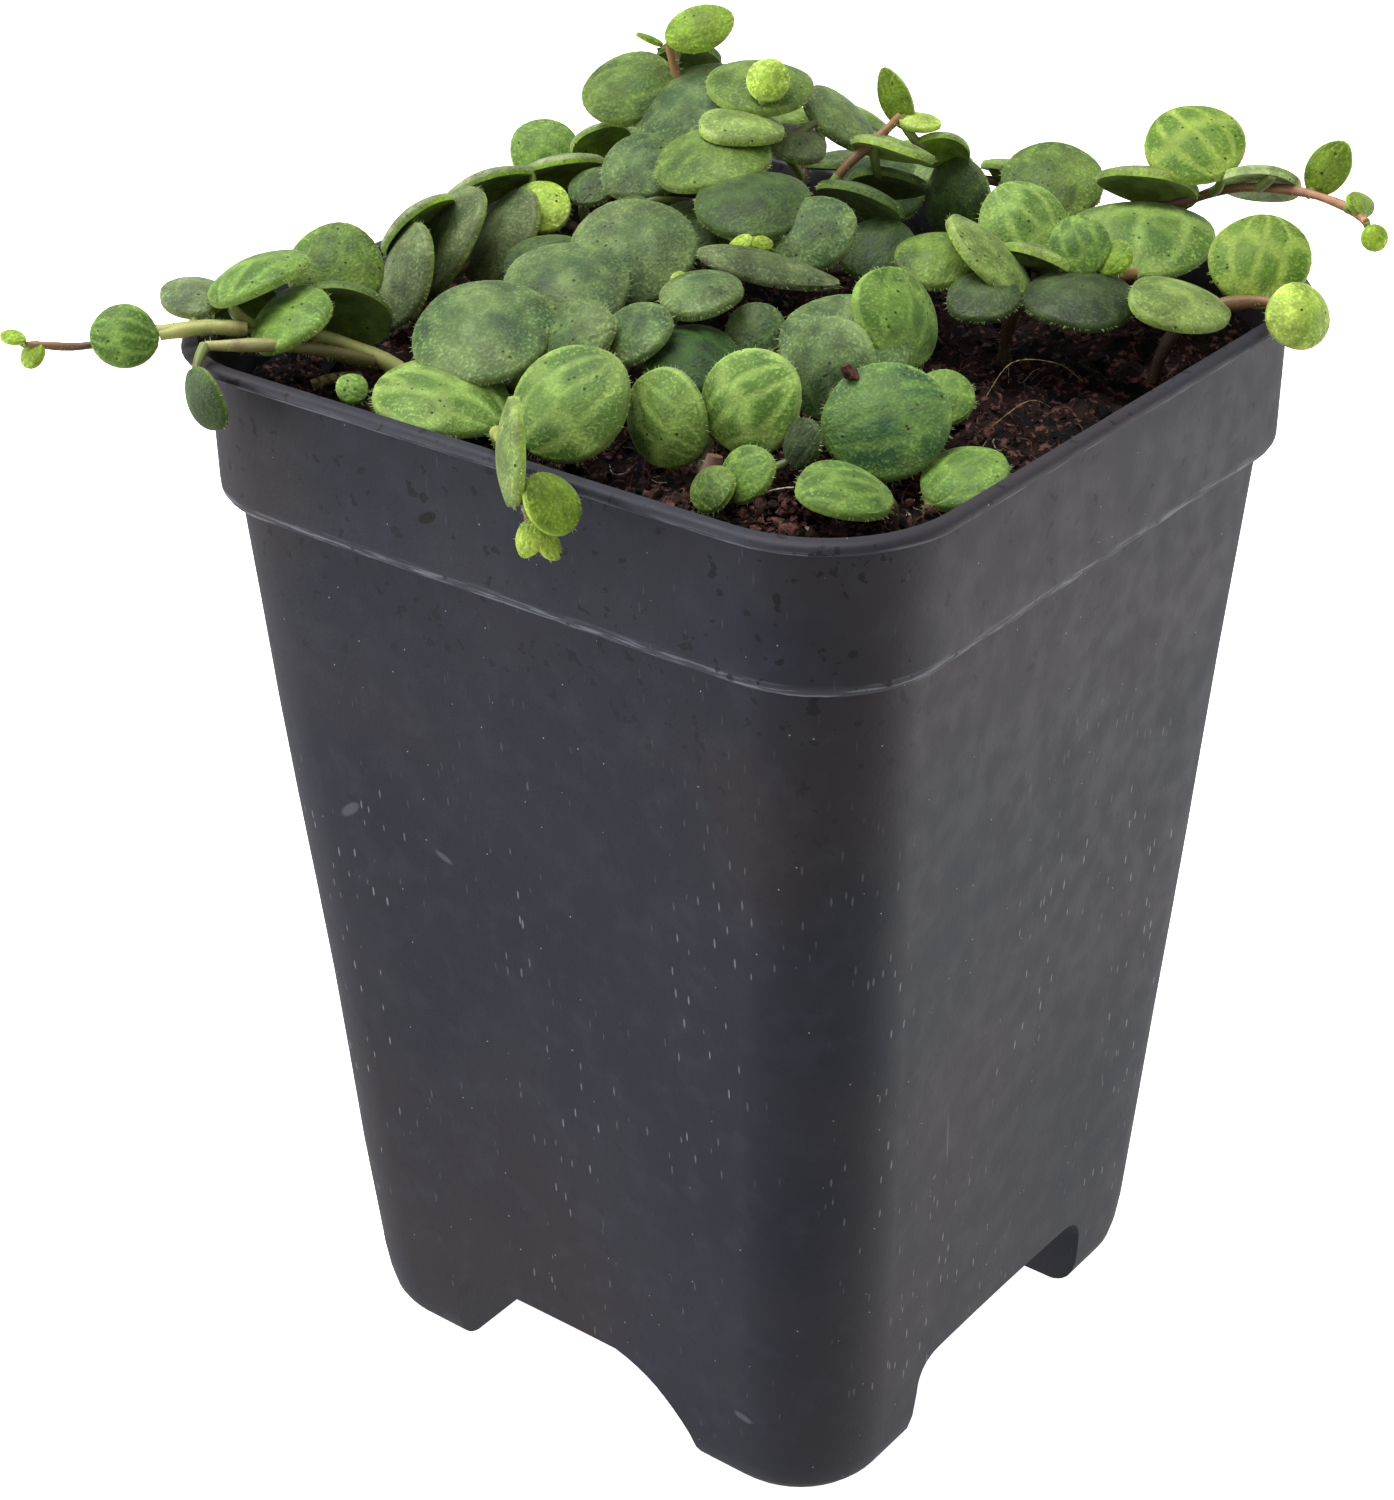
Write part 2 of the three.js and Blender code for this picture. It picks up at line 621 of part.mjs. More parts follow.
// A blade in its place and the stalk that carries it, which leaves the blade at its edge.
function leaf([right, front, up, width, faces, lean, long = 1.04], curves) {
  const middle = spot([right, front, up]);
  const normal = facing(faces, lean);
  const origin = curves.length ? nearest(curves, middle) : middle.clone().add(spot([-1, 0, 0]));
  const outward = middle.clone().sub(origin);
  const along = outward.clone().addScaledVector(normal, -outward.dot(normal)).normalize();
  const sideways = normal.clone().cross(along);
  const blade = bladeShape(width, long);
  blade.applyMatrix4(new THREE.Matrix4().makeBasis(along, sideways, normal).setPosition(middle));
  if (!curves.length) return [solid(blade)];
  const root = middle.clone().addScaledVector(along, ROOTED - 0.5 * width * long);
  root.addScaledVector(normal, ROOTED * CUP - BLADE_EDGE / 2);
  const radius = Math.min(STALK_RADIUS, 0.1 * width + 0.1);
  return [solid(blade), solid(tube(new THREE.LineCurve3(root, origin), radius, STALK_SIDES, 1))];
}

function makeLeafyStem({ name, tone, stems, leaves }) {
  const curves = stems.map(({ path }) => new THREE.CatmullRomCurve3(path.map(spot)));
  const woody = curves.map((curve, i) => {
    const steps = Math.round(curve.getLength() / STEM_STEP) + 1;
    return solid(tube(curve, stems[i].radius, STEM_SIDES, steps));
  });
  const green = leaves.flatMap((row) => leaf(row, curves));
  return meshOf(join([...woody, ...green]), name, LEAF_COLOURS[tone], 0.8);
}

const roots = LEAFY_STEMS
  .filter(({ stems }) => stems.length)
  .map(({ stems }) => ({ at: spot(stems[0].path[0]), radius: stems[0].radius }));

const plant = new THREE.Group();
plant.add(makePot(), makeSoil(roots));
for (const row of LEAFY_STEMS) plant.add(makeLeafyStem(row));

export default plant;
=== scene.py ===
# A peperomia in a small square nursery pot: the pot, the peat that fills it, and the leafy stems that
# creep over the peat and trail over the rim. The front left wall faces -Y, the front right wall +X.
import json
import math
import random

import bmesh
import bpy
from mathutils import Matrix, Vector, noise

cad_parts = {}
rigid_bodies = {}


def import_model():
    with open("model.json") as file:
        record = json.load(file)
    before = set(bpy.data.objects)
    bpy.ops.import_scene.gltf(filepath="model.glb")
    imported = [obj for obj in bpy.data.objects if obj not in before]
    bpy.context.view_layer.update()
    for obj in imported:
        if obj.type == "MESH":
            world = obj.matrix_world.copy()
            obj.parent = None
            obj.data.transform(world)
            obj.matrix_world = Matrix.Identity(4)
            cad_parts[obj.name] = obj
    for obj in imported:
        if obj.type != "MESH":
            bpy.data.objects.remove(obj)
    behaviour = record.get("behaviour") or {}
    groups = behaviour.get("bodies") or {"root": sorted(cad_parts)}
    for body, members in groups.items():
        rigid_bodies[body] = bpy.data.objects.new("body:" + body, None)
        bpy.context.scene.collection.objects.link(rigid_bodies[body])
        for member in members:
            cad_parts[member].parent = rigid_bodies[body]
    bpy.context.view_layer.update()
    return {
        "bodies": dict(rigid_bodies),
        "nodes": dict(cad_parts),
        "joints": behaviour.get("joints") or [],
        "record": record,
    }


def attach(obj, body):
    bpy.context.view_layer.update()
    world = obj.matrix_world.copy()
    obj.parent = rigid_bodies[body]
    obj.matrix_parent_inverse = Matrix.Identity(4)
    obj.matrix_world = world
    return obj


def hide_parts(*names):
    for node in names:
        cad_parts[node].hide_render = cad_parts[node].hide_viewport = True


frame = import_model()


# The pot is one thin moulding of charcoal plastic: a tapered square bucket with round corners and a
# stepped band under its lip. It stands on four hollow feet, which two crossed channels part, and it
# drains through a hole in the middle and one over each channel.
MM = 0.001
CORNER_STEPS = 12
SIDE_STEPS = 8
LEVEL_STEPS = 8
WALL = 1.0
WARP = 0.12
FOOT_HALF = 24.5
FOOT_HEIGHT = 8.0
MOUTH_HALF = 28.8
BAND_BOTTOM = 73.2
BODY_CORNER = 8
CHANNEL_FOOT = 12.2
BAR_REACH = 40
# A channel's two sides, from its middle and the ground: where the side starts to curve, the corner
# that draws the curve and where it meets the flat roof. The front foot's left side slopes more.
STEEP_SIDE = ((11.8, 5.4), (11.7, 8), 9)
SLOPING_SIDE = ((11.5, 3), (9, 7), 4.5)
DRAINS = [(0, 0), (15, 0), (-15, 0), (0, 15), (0, -15)]
DRAIN_RADIUS = 3


def outline(step, half, corner, bow):
    """A place on a rounded square with sides drawn in by bow, for a step of the way round it."""
    quarter, step = divmod(step, CORNER_STEPS + SIDE_STEPS)
    if step <= CORNER_STEPS:
        turn = (step / CORNER_STEPS - 1) * math.pi / 2
        x = half - corner + corner * math.cos(turn)
        y = corner - half + corner * math.sin(turn)
    else:
        along = 2 * (step - CORNER_STEPS) / SIDE_STEPS - 1
        x = half - bow * (1 - along * along)
        y = along * (half - corner)
    return Matrix.Rotation(quarter * math.pi / 2, 2) @ Vector((x, y))


def next_ring(bm, edges):
    """Draws a new ring of vertices and edges out of an open one."""
    made = bmesh.ops.extrude_edge_only(bm, edges=edges)["geom"]
    ring = [g for g in made if isinstance(g, bmesh.types.BMVert)]
    fresh = set(ring)
    return ring, [g for g in made if isinstance(g, bmesh.types.BMEdge) and fresh.issuperset(g.verts)]


def face_out(bm):
    """Turns all faces outward."""
    bmesh.ops.recalc_face_normals(bm, faces=bm.faces)


def squares(levels):
    """A closed skin over a stack of rounded squares (half width, corner, height, bow), bottom first."""
    bm = bmesh.new()
    count = 4 * (CORNER_STEPS + SIDE_STEPS)
    place = bm.verts.layers.int.new("step")
    ring = bmesh.ops.create_circle(bm, segments=count)["verts"]
    for i, vert in enumerate(ring):
        vert[place] = i
    edges = list(bm.edges)
    first = edges
    for n, (half, corner, height, *bow) in enumerate(levels):
        if n:
            ring, edges = next_ring(bm, edges)
        for vert in ring:
            x, y = outline(vert[place], half, corner, bow[0] if bow else 0)
            vert.co = (x, y, height)
            if FOOT_HEIGHT < height < BAND_BOTTOM:
                vert.co.xy *= 1 + WARP * noise.noise(vert.co * 0.045) / half
    bmesh.ops.edgeloop_fill(bm, edges=first)
    bmesh.ops.edgeloop_fill(bm, edges=edges)
    face_out(bm)
    return bm


def body_levels(inset):
    """The levels of the tapered body between the feet and the band."""
    levels = []
    for k in range(LEVEL_STEPS + 1):
        up = k / LEVEL_STEPS
        half = FOOT_HALF + (MOUTH_HALF - FOOT_HALF) * up
        height = FOOT_HEIGHT + (BAND_BOTTOM - 0.5 - FOOT_HEIGHT) * up
        bow = 0.3 - 0.1 * up + 1.8 * up * (1 - up)
        levels.append((half - inset, BODY_CORNER - inset, height, bow))
    return levels


def channel_side(side, grown):
    """One side of a channel, wider and higher by grown, from below the ground up to its roof."""
    start, corner, roof = side
    start = Vector((start[0] + grown, start[1]))
    corner = Vector((corner[0] + grown, corner[1] + grown))
    roof = Vector((roof, FOOT_HEIGHT + grown))
    places = [Vector((CHANNEL_FOOT + grown, -4)), Vector((CHANNEL_FOOT + grown, 0))]
    for k in range(LEVEL_STEPS + 1):
        t = k / LEVEL_STEPS
        places.append(start * (1 - t) ** 2 + corner * 2 * t * (1 - t) + roof * t * t)
    return places


def channel_bar(grown, right, left):
    """What cuts one channel under the pot, wider and higher by grown, along Y."""
    places = channel_side(right, grown)
    places += [Vector((-x, z)) for x, z in reversed(channel_side(left, grown))]
    bm = bmesh.new()
    profile = bmesh.ops.create_circle(bm, cap_ends=True, segments=len(places))["verts"]
    for vert, (x, z) in zip(profile, places):
        vert.co = (x, -BAR_REACH, z)
    made = bmesh.ops.extrude_face_region(bm, geom=bm.faces[:], use_keep_orig=True)["geom"]
    far = [g for g in made if isinstance(g, bmesh.types.BMVert)]
    bmesh.ops.translate(bm, vec=(0, 2 * BAR_REACH, 0), verts=far)
    face_out(bm)
    return bm


def stand(bm, name, scale=MM):
    """Puts a finished bmesh, drawn in millimetres, into the scene as an object in metres."""
    bmesh.ops.scale(bm, vec=(scale, scale, scale), verts=bm.verts)
    mesh = bpy.data.meshes.new(name)
    bm.to_mesh(mesh)
    bm.free()
    piece = bpy.data.objects.new(name, mesh)
    bpy.context.scene.collection.objects.link(piece)
    return piece


def cut(piece, tool):
    """Cuts a tool's shape out of a piece and throws the tool away."""
    cutter = piece.modifiers.new("cut", "BOOLEAN")
    cutter.object = tool
    cutter.solver = "EXACT"
    whole = bpy.data.meshes.new_from_object(piece.evaluated_get(bpy.context.evaluated_depsgraph_get()))
    piece.modifiers.clear()
    old, piece.data = piece.data, whole
    bpy.data.meshes.remove(old)
    bpy.data.meshes.remove(tool.data)


def smooth(piece, degrees):
    """Smooth shading that stays crisp at edges sharper than the angle."""
    piece.data.polygons.foreach_set("use_smooth", [True] * len(piece.data.polygons))
    piece.data.set_sharp_from_angle(angle=math.radians(degrees))


def channel_tools(grown):
    """Both channels' tools, crossed."""
    along_y = stand(channel_bar(grown, SLOPING_SIDE, STEEP_SIDE), "channel", 1)
    across = channel_bar(grown, STEEP_SIDE, STEEP_SIDE)
    quarter = Matrix.Rotation(math.pi / 2, 3, "Z")
    bmesh.ops.rotate(across, cent=(0, 0, 0), matrix=quarter, verts=across.verts)
    return along_y, stand(across, "channel", 1)


outside = [
    (21.6, 5.2, 0),
    (21.9, 5.5, 0.06),
    (22.35, 5.95, 0.25),
    (22.75, 6.45, 0.5),
    (23.2, 6.95, 0.95),
    (23.6, 7.35, 1.6),
    (24, 7.8, 3),
    (24.3, 7.95, 5.3, 0.15),
    *body_levels(0),
    (28.85, 8.1, 73, 0.15),
    (29, 8.3, 73.12),
    (29.6, 8.9, 73.14),
    (29.95, 9.1, 73.3),
    (30.15, 9.25, 73.65),
    (30.2, 9.3, 74.2),
    (30.3, 9.4, 83.1),
    (30.5, 9.5, 83.45),
    (31.2, 9.9, 83.7),
    (31.6, 10, 83.9),
    (31.75, 10, 84.15),
    (31.7, 10, 84.42),
    (31.5, 9.9, 84.62),
    (31.2, 9.8, 84.7),
    (30.85, 9.5, 84.7),
]
inside = [
    (20.6, 4.2, WALL),
    (22.9, 6.6, 3.4),
    *body_levels(WALL),
    (28.6, 8, 73.8),
    (29.2, 8.3, 74.8),
    (29.35, 8.4, 81.7),
    (29.65, 8.6, 83.1),
    (30.35, 9, 84.2),
    (30.6, 9.2, 84.56),
    (30.85, 9.4, 84.9),
    (31.2, 9.7, 85.6),
]
pot = stand(squares(outside), "charcoal_pot", 1)
hollow = stand(squares(inside), "hollow", 1)
for tool in channel_tools(WALL):
    cut(hollow, tool)
for tool in channel_tools(0):
    cut(pot, tool)
cut(pot, hollow)
for x, y in DRAINS:
    drill = bmesh.new()
    ends = {"radius1": DRAIN_RADIUS, "radius2": DRAIN_RADIUS, "depth": 8, "cap_ends": True}
    bmesh.ops.create_cone(drill, segments=32, matrix=Matrix.Translation((x, y, FOOT_HEIGHT)), **ends)
    cut(pot, stand(drill, "drill", 1))
pot.data.transform(Matrix.Scale(MM, 4))
smooth(pot, 38)


def linear(red, green, blue):
    """A colour given as it looks on a screen, from 0 to 255, as the light values that a shader takes."""
    screen = (red, green, blue)
    return (*(((c / 255 + 0.055) / 1.055) ** 2.4 if c > 10 else c / 3294.6 for c in screen), 1.0)


def finish_of(name):
    """A new material's tree and its shader."""
    finish = bpy.data.materials.new(name)
    finish.use_nodes = True
    return finish, finish.node_tree, finish.node_tree.nodes["Principled BSDF"]


def plug(tree, made, inputs):
    """Links or sets the inputs of a node by name or number."""
    for key, value in inputs.items():
        if isinstance(value, bpy.types.NodeSocket):
            tree.links.new(value, made.inputs[key])
        else:
            made.inputs[key].default_value = value


def node(tree, kind, settings=None, inputs=None, out=0):
    """Adds a node to a tree with its settings and inputs, and returns one output."""
    made = tree.nodes.new(kind)
    for key, value in (settings or {}).items():
        setattr(made, key, value)
    plug(tree, made, inputs or {})
    return made.outputs[out]


def object_place(tree):
    """The place in the object, in metres."""
    return node(tree, "ShaderNodeTexCoord", out=3)


def part_of(tree, place, number):
    """One number of a place: 0 for x, 1 for y and 2 for z."""
    return node(tree, "ShaderNodeSeparateXYZ", None, {0: place}, number)


def maths(tree, operation, *values):
    """One sum with outputs or plain numbers."""
    return node(tree, "ShaderNodeMath", {"operation": operation}, dict(enumerate(values)))


def times(tree, first, second):
    """A product."""
    return maths(tree, "MULTIPLY", first, second)


def fade(tree, value, low, high, to_low=0.0, to_high=1.0):
    """Runs smoothly from one value to another while an input goes from low to high."""
    inputs = {0: value, 1: low, 2: high, 3: to_low, 4: to_high}
    return node(tree, "ShaderNodeMapRange", {"interpolation_type": "SMOOTHSTEP"}, inputs)


def mix(tree, factor, first, second, mode="MIX"):
    """Mixes two colours."""
    inputs = {0: factor, 6: first, 7: second}
    return node(tree, "ShaderNodeMix", {"data_type": "RGBA", "blend_type": mode}, inputs, 2)


def grain(tree, where, scale, detail=2.0, stretch=(1, 1, 1), at=(0, 0, 0)):
    """Soft noise at a number of lumps to the metre, stretched and shifted."""
    place = node(tree, "ShaderNodeMapping", None, {0: where, 1: at, 3: stretch})
    return node(tree, "ShaderNodeTexNoise", None, {"Vector": place, "Scale": scale, "Detail": detail})


def dots(tree, where, scale):
    """How far it is to the nearest of many scattered dots."""
    return node(tree, "ShaderNodeTexVoronoi", None, {"Vector": where, "Scale": scale})


def bump(tree, height, depth, under=None):
    """A relief of a depth in metres, on top of another one."""
    inputs = {"Height": height, "Distance": depth, "Strength": 1.0}
    if under:
        inputs["Normal"] = under
    return node(tree, "ShaderNodeBump", None, inputs)


def patch_at(tree, place, at, size, turn=(0, 0, 0), soft=0.25):
    """One inside an ellipsoid of half sizes in metres at a place, and none outside it."""
    inputs = {0: place, 1: at, 2: turn, 3: size}
    own = node(tree, "ShaderNodeMapping", {"vector_type": "TEXTURE"}, inputs)
    away = node(tree, "ShaderNodeVectorMath", {"operation": "LENGTH"}, {0: own}, 1)
    return fade(tree, away, 1 - soft, 1 + soft, 1, 0)


plastic, tree, shader = finish_of("charcoal plastic")
place = object_place(tree)
up = part_of(tree, place, 2)
cloud = grain(tree, place, 60, 4)
wear = grain(tree, place, 420, 4, at=(0.3, 0.1, 0))
colour = mix(tree, fade(tree, cloud, 0.35, 0.68), linear(31, 33, 43), linear(38, 38, 47))
warm = grain(tree, place, 34, 3, at=(0.3, 0.2, 0.62))
colour = mix(tree, fade(tree, warm, 0.45, 0.66, 0, 0.6), colour, linear(48, 40, 43))
colour = mix(tree, fade(tree, wear, 0.45, 0.75, 0, 0.24), colour, linear(58, 60, 70))
# Short pale upright drag marks that the mould left on the lower two thirds of the body.
tall = node(tree, "ShaderNodeMapping", None, {0: place, 3: (1, 1, 0.2)})
streaks = dots(tree, tall, 1500.0)
where = fade(tree, grain(tree, place, 90, 2, (1, 1, 0.4), (0.2, 0.5, 0.1)), 0.42, 0.6)
body_only = times(tree, fade(tree, up, 0.002, 0.012), fade(tree, up, 0.045, 0.066, 1, 0.1))
mark = times(tree, fade(tree, streaks, 0.09, 0.16, 1, 0), times(tree, where, body_only))
colour = mix(tree, times(tree, mark, 0.5), colour, linear(150, 152, 160))
# White dust specks all over, pale scratches along the step and the lip with a painted highlight along
# both edges, and dirt, most of it on the band.
dust = fade(tree, dots(tree, place, 620.0), 0.02, 0.045, 0.6, 0)
colour = mix(tree, dust, colour, linear(188, 190, 194))
scratch = fade(tree, grain(tree, place, 500, 3, (0.6, 0.6, 9), (0.1, 0.4, 0.2)), 0.46, 0.62)
# The step's and the lip's outer edges get a faint pale line all along them, a painted highlight where
# the edges catch the light, which the scratches make stronger in places.
step_edge = times(tree, fade(tree, up, 0.0731, 0.0733), fade(tree, up, 0.0736, 0.0743, 1, 0))
lip_edge = times(tree, fade(tree, up, 0.0834, 0.0838), fade(tree, up, 0.0839, 0.0843, 1, 0))
edges = times(tree, maths(tree, "MAXIMUM", step_edge, lip_edge), maths(tree, "ADD", scratch, 0.25))
colour = mix(tree, times(tree, edges, 0.36), colour, linear(156, 158, 168))
dirt_spots = grain(tree, place, 900, 3, at=(0.1, 0.7, 0.3))
dirt = times(tree, fade(tree, dirt_spots, 0.635, 0.665), fade(tree, up, 0.055, 0.08, 0.15, 0.8))
colour = mix(tree, dirt, colour, linear(15, 13, 12))
# A flake of bark that sticks to the band, a few scuffs, and a hair-thin scratch on the right wall.
flake = patch_at(tree, place, (-0.00476, -0.03025, 0.07796), (0.0009, 0.001, 0.00038), (0, -0.5, 0), 0.1)
colour = mix(tree, flake, colour, linear(14, 11, 10))
for at, size, turn in [
    ((-0.017, -0.0273, 0.05), (0.0011, 0.001, 0.0004), (0, -0.7, 0)),
    ((-0.0083, -0.0272, 0.0487), (0.0009, 0.001, 0.0003), (0, 0.4, 0)),
    ((0.0288, -0.0292, 0.0797), (0.001, 0.001, 0.0003), (0, 0.2, 0.8)),
    ((0.02585, -0.0107, 0.029), (0.001, 0.00012, 0.0024), (0.12, 0, 0)),
    ((0.0257, -0.0122, 0.0265), (0.001, 0.00025, 0.0002), (0, 0, 0)),
    ((0.017, -0.0245, 0.0078), (0.0008, 0.001, 0.0003), (0, 0.3, 0)),
]:
    scuff = times(tree, patch_at(tree, place, at, size, turn), 0.2)
    colour = mix(tree, scuff, colour, linear(136, 138, 148))
relief = bump(tree, grain(tree, place, 2600, 2), 0.000015)
plug(tree, shader, {
    "Base Color": colour,
    "Roughness": fade(tree, wear, 0.3, 0.75, 0.48, 0.6),
    "Normal": bump(tree, wear, 0.000018, relief),
    "Specular IOR Level": 0.22,
})
pot.data.materials.clear()
pot.data.materials.append(plastic)
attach(pot, "root")
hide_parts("pot")


# The soil is moist dark peat that fills the pot to a few millimetres below its lip. Its top is a
# rough crust that the watering has levelled, with a heap in the front corner.
SOIL_HALF = 28.95
SOIL_CORNER = 8
SOIL_LEVEL = 80.2
SOIL_STEPS = 170
HEAP_X, HEAP_Y, HEAP_WIDTH, HEAP_HEIGHT = 20, -26, 8, 3
# The sides, downward: how far each level draws in from the one above it, and its height.
SOIL_SIDES = [(1, 75.2), (0.91, 73), (0.92, 38), (0.95, 10.2)]


def soil_height(x, y):
    """The soil's level, as the solid model has it."""
    ripple = 0.35 * math.sin(0.62 * x + 1.3) * math.cos(0.55 * y) + 0.25 * math.sin(0.9 * y - 0.5 * x)
    away = math.hypot(x - HEAP_X, y - HEAP_Y) / HEAP_WIDTH
    return SOIL_LEVEL + ripple + HEAP_HEIGHT * math.exp(-away * away)


def crust(x, y):
    """The soil's level with its crumbs and pits."""
    lumps = noise.fractal(Vector((x, y, 3)) * 0.55, 0.7, 2.1, 4)
    pits = noise.cell(Vector((x, y, 0)) * 1.3) - 0.5
    return soil_height(x, y) + 0.8 * lumps + 0.14 * pits


bm = bmesh.new()
bmesh.ops.create_grid(bm, x_segments=SOIL_STEPS, y_segments=SOIL_STEPS, size=SOIL_HALF)
for vert in bm.verts:
    flat = SOIL_HALF - SOIL_CORNER
    past = Vector((max(abs(vert.co.x) - flat, 0), max(abs(vert.co.y) - flat, 0)))
    if past.x and past.y:
        past *= max(past) / past.length
        vert.co.x = math.copysign(flat + past.x, vert.co.x)
        vert.co.y = math.copysign(flat + past.y, vert.co.y)
    vert.co.z = crust(vert.co.x, vert.co.y)
rim = [edge for edge in bm.edges if edge.is_boundary]
for part, height in SOIL_SIDES:
    ring, rim = next_ring(bm, rim)
    for vert in ring:
        vert.co.xy *= part
        vert.co.z = height
bmesh.ops.edgeloop_fill(bm, edges=rim)
face_out(bm)
soil = stand(bm, "peat_soil")
smooth(soil, 60)

peat, tree, shader = finish_of("moist peat")
place = object_place(tree)
clods = grain(tree, place, 450, 5)
colour = mix(tree, fade(tree, clods, 0.4, 0.64), linear(5, 4, 5), linear(38, 25, 22))
rust = grain(tree, place, 1500, 3, at=(0.4, 0.2, 0))
colour = mix(tree, fade(tree, rust, 0.55, 0.65, 0, 0.75), colour, linear(102, 70, 60))
plug(tree, shader, {
    "Base Color": colour,
    "Roughness": fade(tree, clods, 0.3, 0.7, 0.6, 0.95),
    "Normal": bump(tree, grain(tree, place, 1800, 6), 0.0007),
    "Specular IOR Level": 0.1,
})
soil.data.materials.append(peat)
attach(soil, "root")
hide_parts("soil")


# Loose on the soil lie crumbs of peat and bark, a few pale chips, and coir fibres and root hairs. The
# crumbs heap up in the front corner, and one larger flake of bark has landed on a leaf near it.
BATCHES = 24
CRUMBS = 130
FIBRES = 32
HEAPED = 220
PILE_X, PILE_Y = 21, -24.6
FIBRE_REACH = 27.5
DARK = linear(15, 10, 10)
BROWN = linear(56, 38, 33)
RUSSET = linear(96, 63, 53)
PALE = linear(186, 176, 156)
CHIPS = [(20.4, -6.3, 0.5), (22, -7.6, 0.8), (23.6, -15.4, 0.45), (22.7, -25.2, 0.5), (24.4, 15, 0.4)]
BARK_ON_LEAF = (17.4, -13, 87.9)


def tinted_mesh():
    """A new bmesh, and the layer that holds the colour of each of its vertices."""
    bm = bmesh.new()
    return bm, bm.verts.layers.float_color.new("tint")


def gather(whole, part):
    """Moves one bmesh into another."""
    mesh = bpy.data.meshes.new("part")
    part.to_mesh(mesh)
    part.free()
    whole.from_mesh(mesh)
    bpy.data.meshes.remove(mesh)


def pour(bm, tint, rng, at, size, colour):
    """Drops one irregular crumb."""
    angle = rng.uniform(0, 6.3)
    axis = Vector((rng.uniform(-1, 1), rng.uniform(-1, 1), rng.uniform(-1, 1)))
    flat = Matrix.Diagonal((size, size * rng.uniform(0.5, 0.9), size * rng.uniform(0.4, 0.75), 1))
    seat = Matrix.Translation(at) @ Matrix.Rotation(angle, 4, axis) @ flat
    ball = bmesh.ops.create_icosphere(bm, subdivisions=1, radius=1, matrix=seat)["verts"]
    for vert in ball:
        vert.co = at + (vert.co - at) * (1 + 0.9 * noise.noise(vert.co * (1.6 / size)))
        vert[tint] = colour


def strew(rng, share, x, y, spread_x, spread_y, half):
    """A chance place on the soil, round one point for a share of them and anywhere for the rest."""
    if rng.random() < share:
        return rng.gauss(x, spread_x), rng.gauss(y, spread_y)
    return rng.uniform(-half, half), rng.uniform(-half, half)


rng = random.Random(11)
whole, tint = tinted_mesh()
for _ in range(BATCHES):
    bm, tint = tinted_mesh()
    for _ in range(CRUMBS):
        x, y = strew(rng, 0.55, 19, -20, 6, 8, SOIL_HALF)
        if max(abs(x), abs(y)) > SOIL_HALF - 1 or abs(x) + abs(y) > 2 * SOIL_HALF - 6.5:
            continue
        size = min(0.15 + rng.expovariate(5.5), 0.9)
        colour = rng.choices([DARK, BROWN, RUSSET], [4, 6, 2])[0]
        pour(bm, tint, rng, Vector((x, y, crust(x, y) + 0.2 * size)), size, colour)
    gather(whole, bm)
bm, tint = tinted_mesh()
for _ in range(HEAPED):
    x = rng.gauss(PILE_X, 1.6)
    y = rng.gauss(PILE_Y, 1.4)
    if x - y < 48.5:
        lift = max(0, 1.3 - 0.5 * math.hypot(x - PILE_X, y - PILE_Y))
        at = Vector((x, y, crust(x, y) + rng.uniform(0, lift)))
        pour(bm, tint, rng, at, rng.uniform(0.2, 0.5), rng.choice([DARK, BROWN, RUSSET]))
for x, y, size in CHIPS:
    pour(bm, tint, rng, Vector((x, y, crust(x, y) + 0.4 * size)), size, PALE)
pour(bm, tint, random.Random(5), Vector(BARK_ON_LEAF), 0.8, RUSSET)
gather(whole, bm)
face_out(whole)
crumbs = stand(whole, "peat_crumbs")
smooth(crumbs, 35)


def ride_along(points, steps):
    """Places along a smooth curve through a few points."""
    ends = [2 * points[0] - points[1], *points, 2 * points[-1] - points[-2]]
    places = []
    for a, b, c, d in zip(ends, ends[1:], ends[2:], ends[3:]):
        for k in range(steps):
            t = k / steps
            bend = (2 * a - 5 * b + 4 * c - d) * t * t + (3 * b - a - 3 * c + d) * t * t * t
            places.append(0.5 * (2 * b + (c - a) * t + bend))
    return [*places, points[-1]]


def grow(bm, points, radii, sides):
    """Grows a closed round shoot along a row of points and returns its rings, foot first."""
    heading = (points[1] - points[0]).normalized()
    frame = Matrix.Translation(points[0]) @ heading.to_track_quat("Z", "Y").to_matrix().to_4x4()
    ring = bmesh.ops.create_circle(bm, segments=sides, radius=radii[0], matrix=frame)["verts"]
    edges = list({edge for vert in ring for edge in vert.link_edges})
    bmesh.ops.edgeloop_fill(bm, edges=edges)
    rings = [ring]
    for i in range(1, len(points)):
        ring, edges = next_ring(bm, edges)
        ahead = points[min(i + 1, len(points) - 1)] - points[i - 1]
        turn = heading.rotation_difference(ahead)
        heading = ahead.normalized()
        wider = radii[i] / radii[i - 1]
        for vert in ring:
            vert.co = points[i] + turn @ (vert.co - points[i - 1]) * wider
        rings.append(ring)
    bmesh.ops.edgeloop_fill(bm, edges=edges)
    return rings


def strand(bm, tint, places, thick, taper, sides, colour):
    """Grows one fibre of one colour along its places, thinner toward its end."""
    radii = [thick * (1.05 - taper * k / len(places)) for k in range(len(places))]
    for ring in grow(bm, places, radii, sides):
        for vert in ring:
            vert[tint] = colour


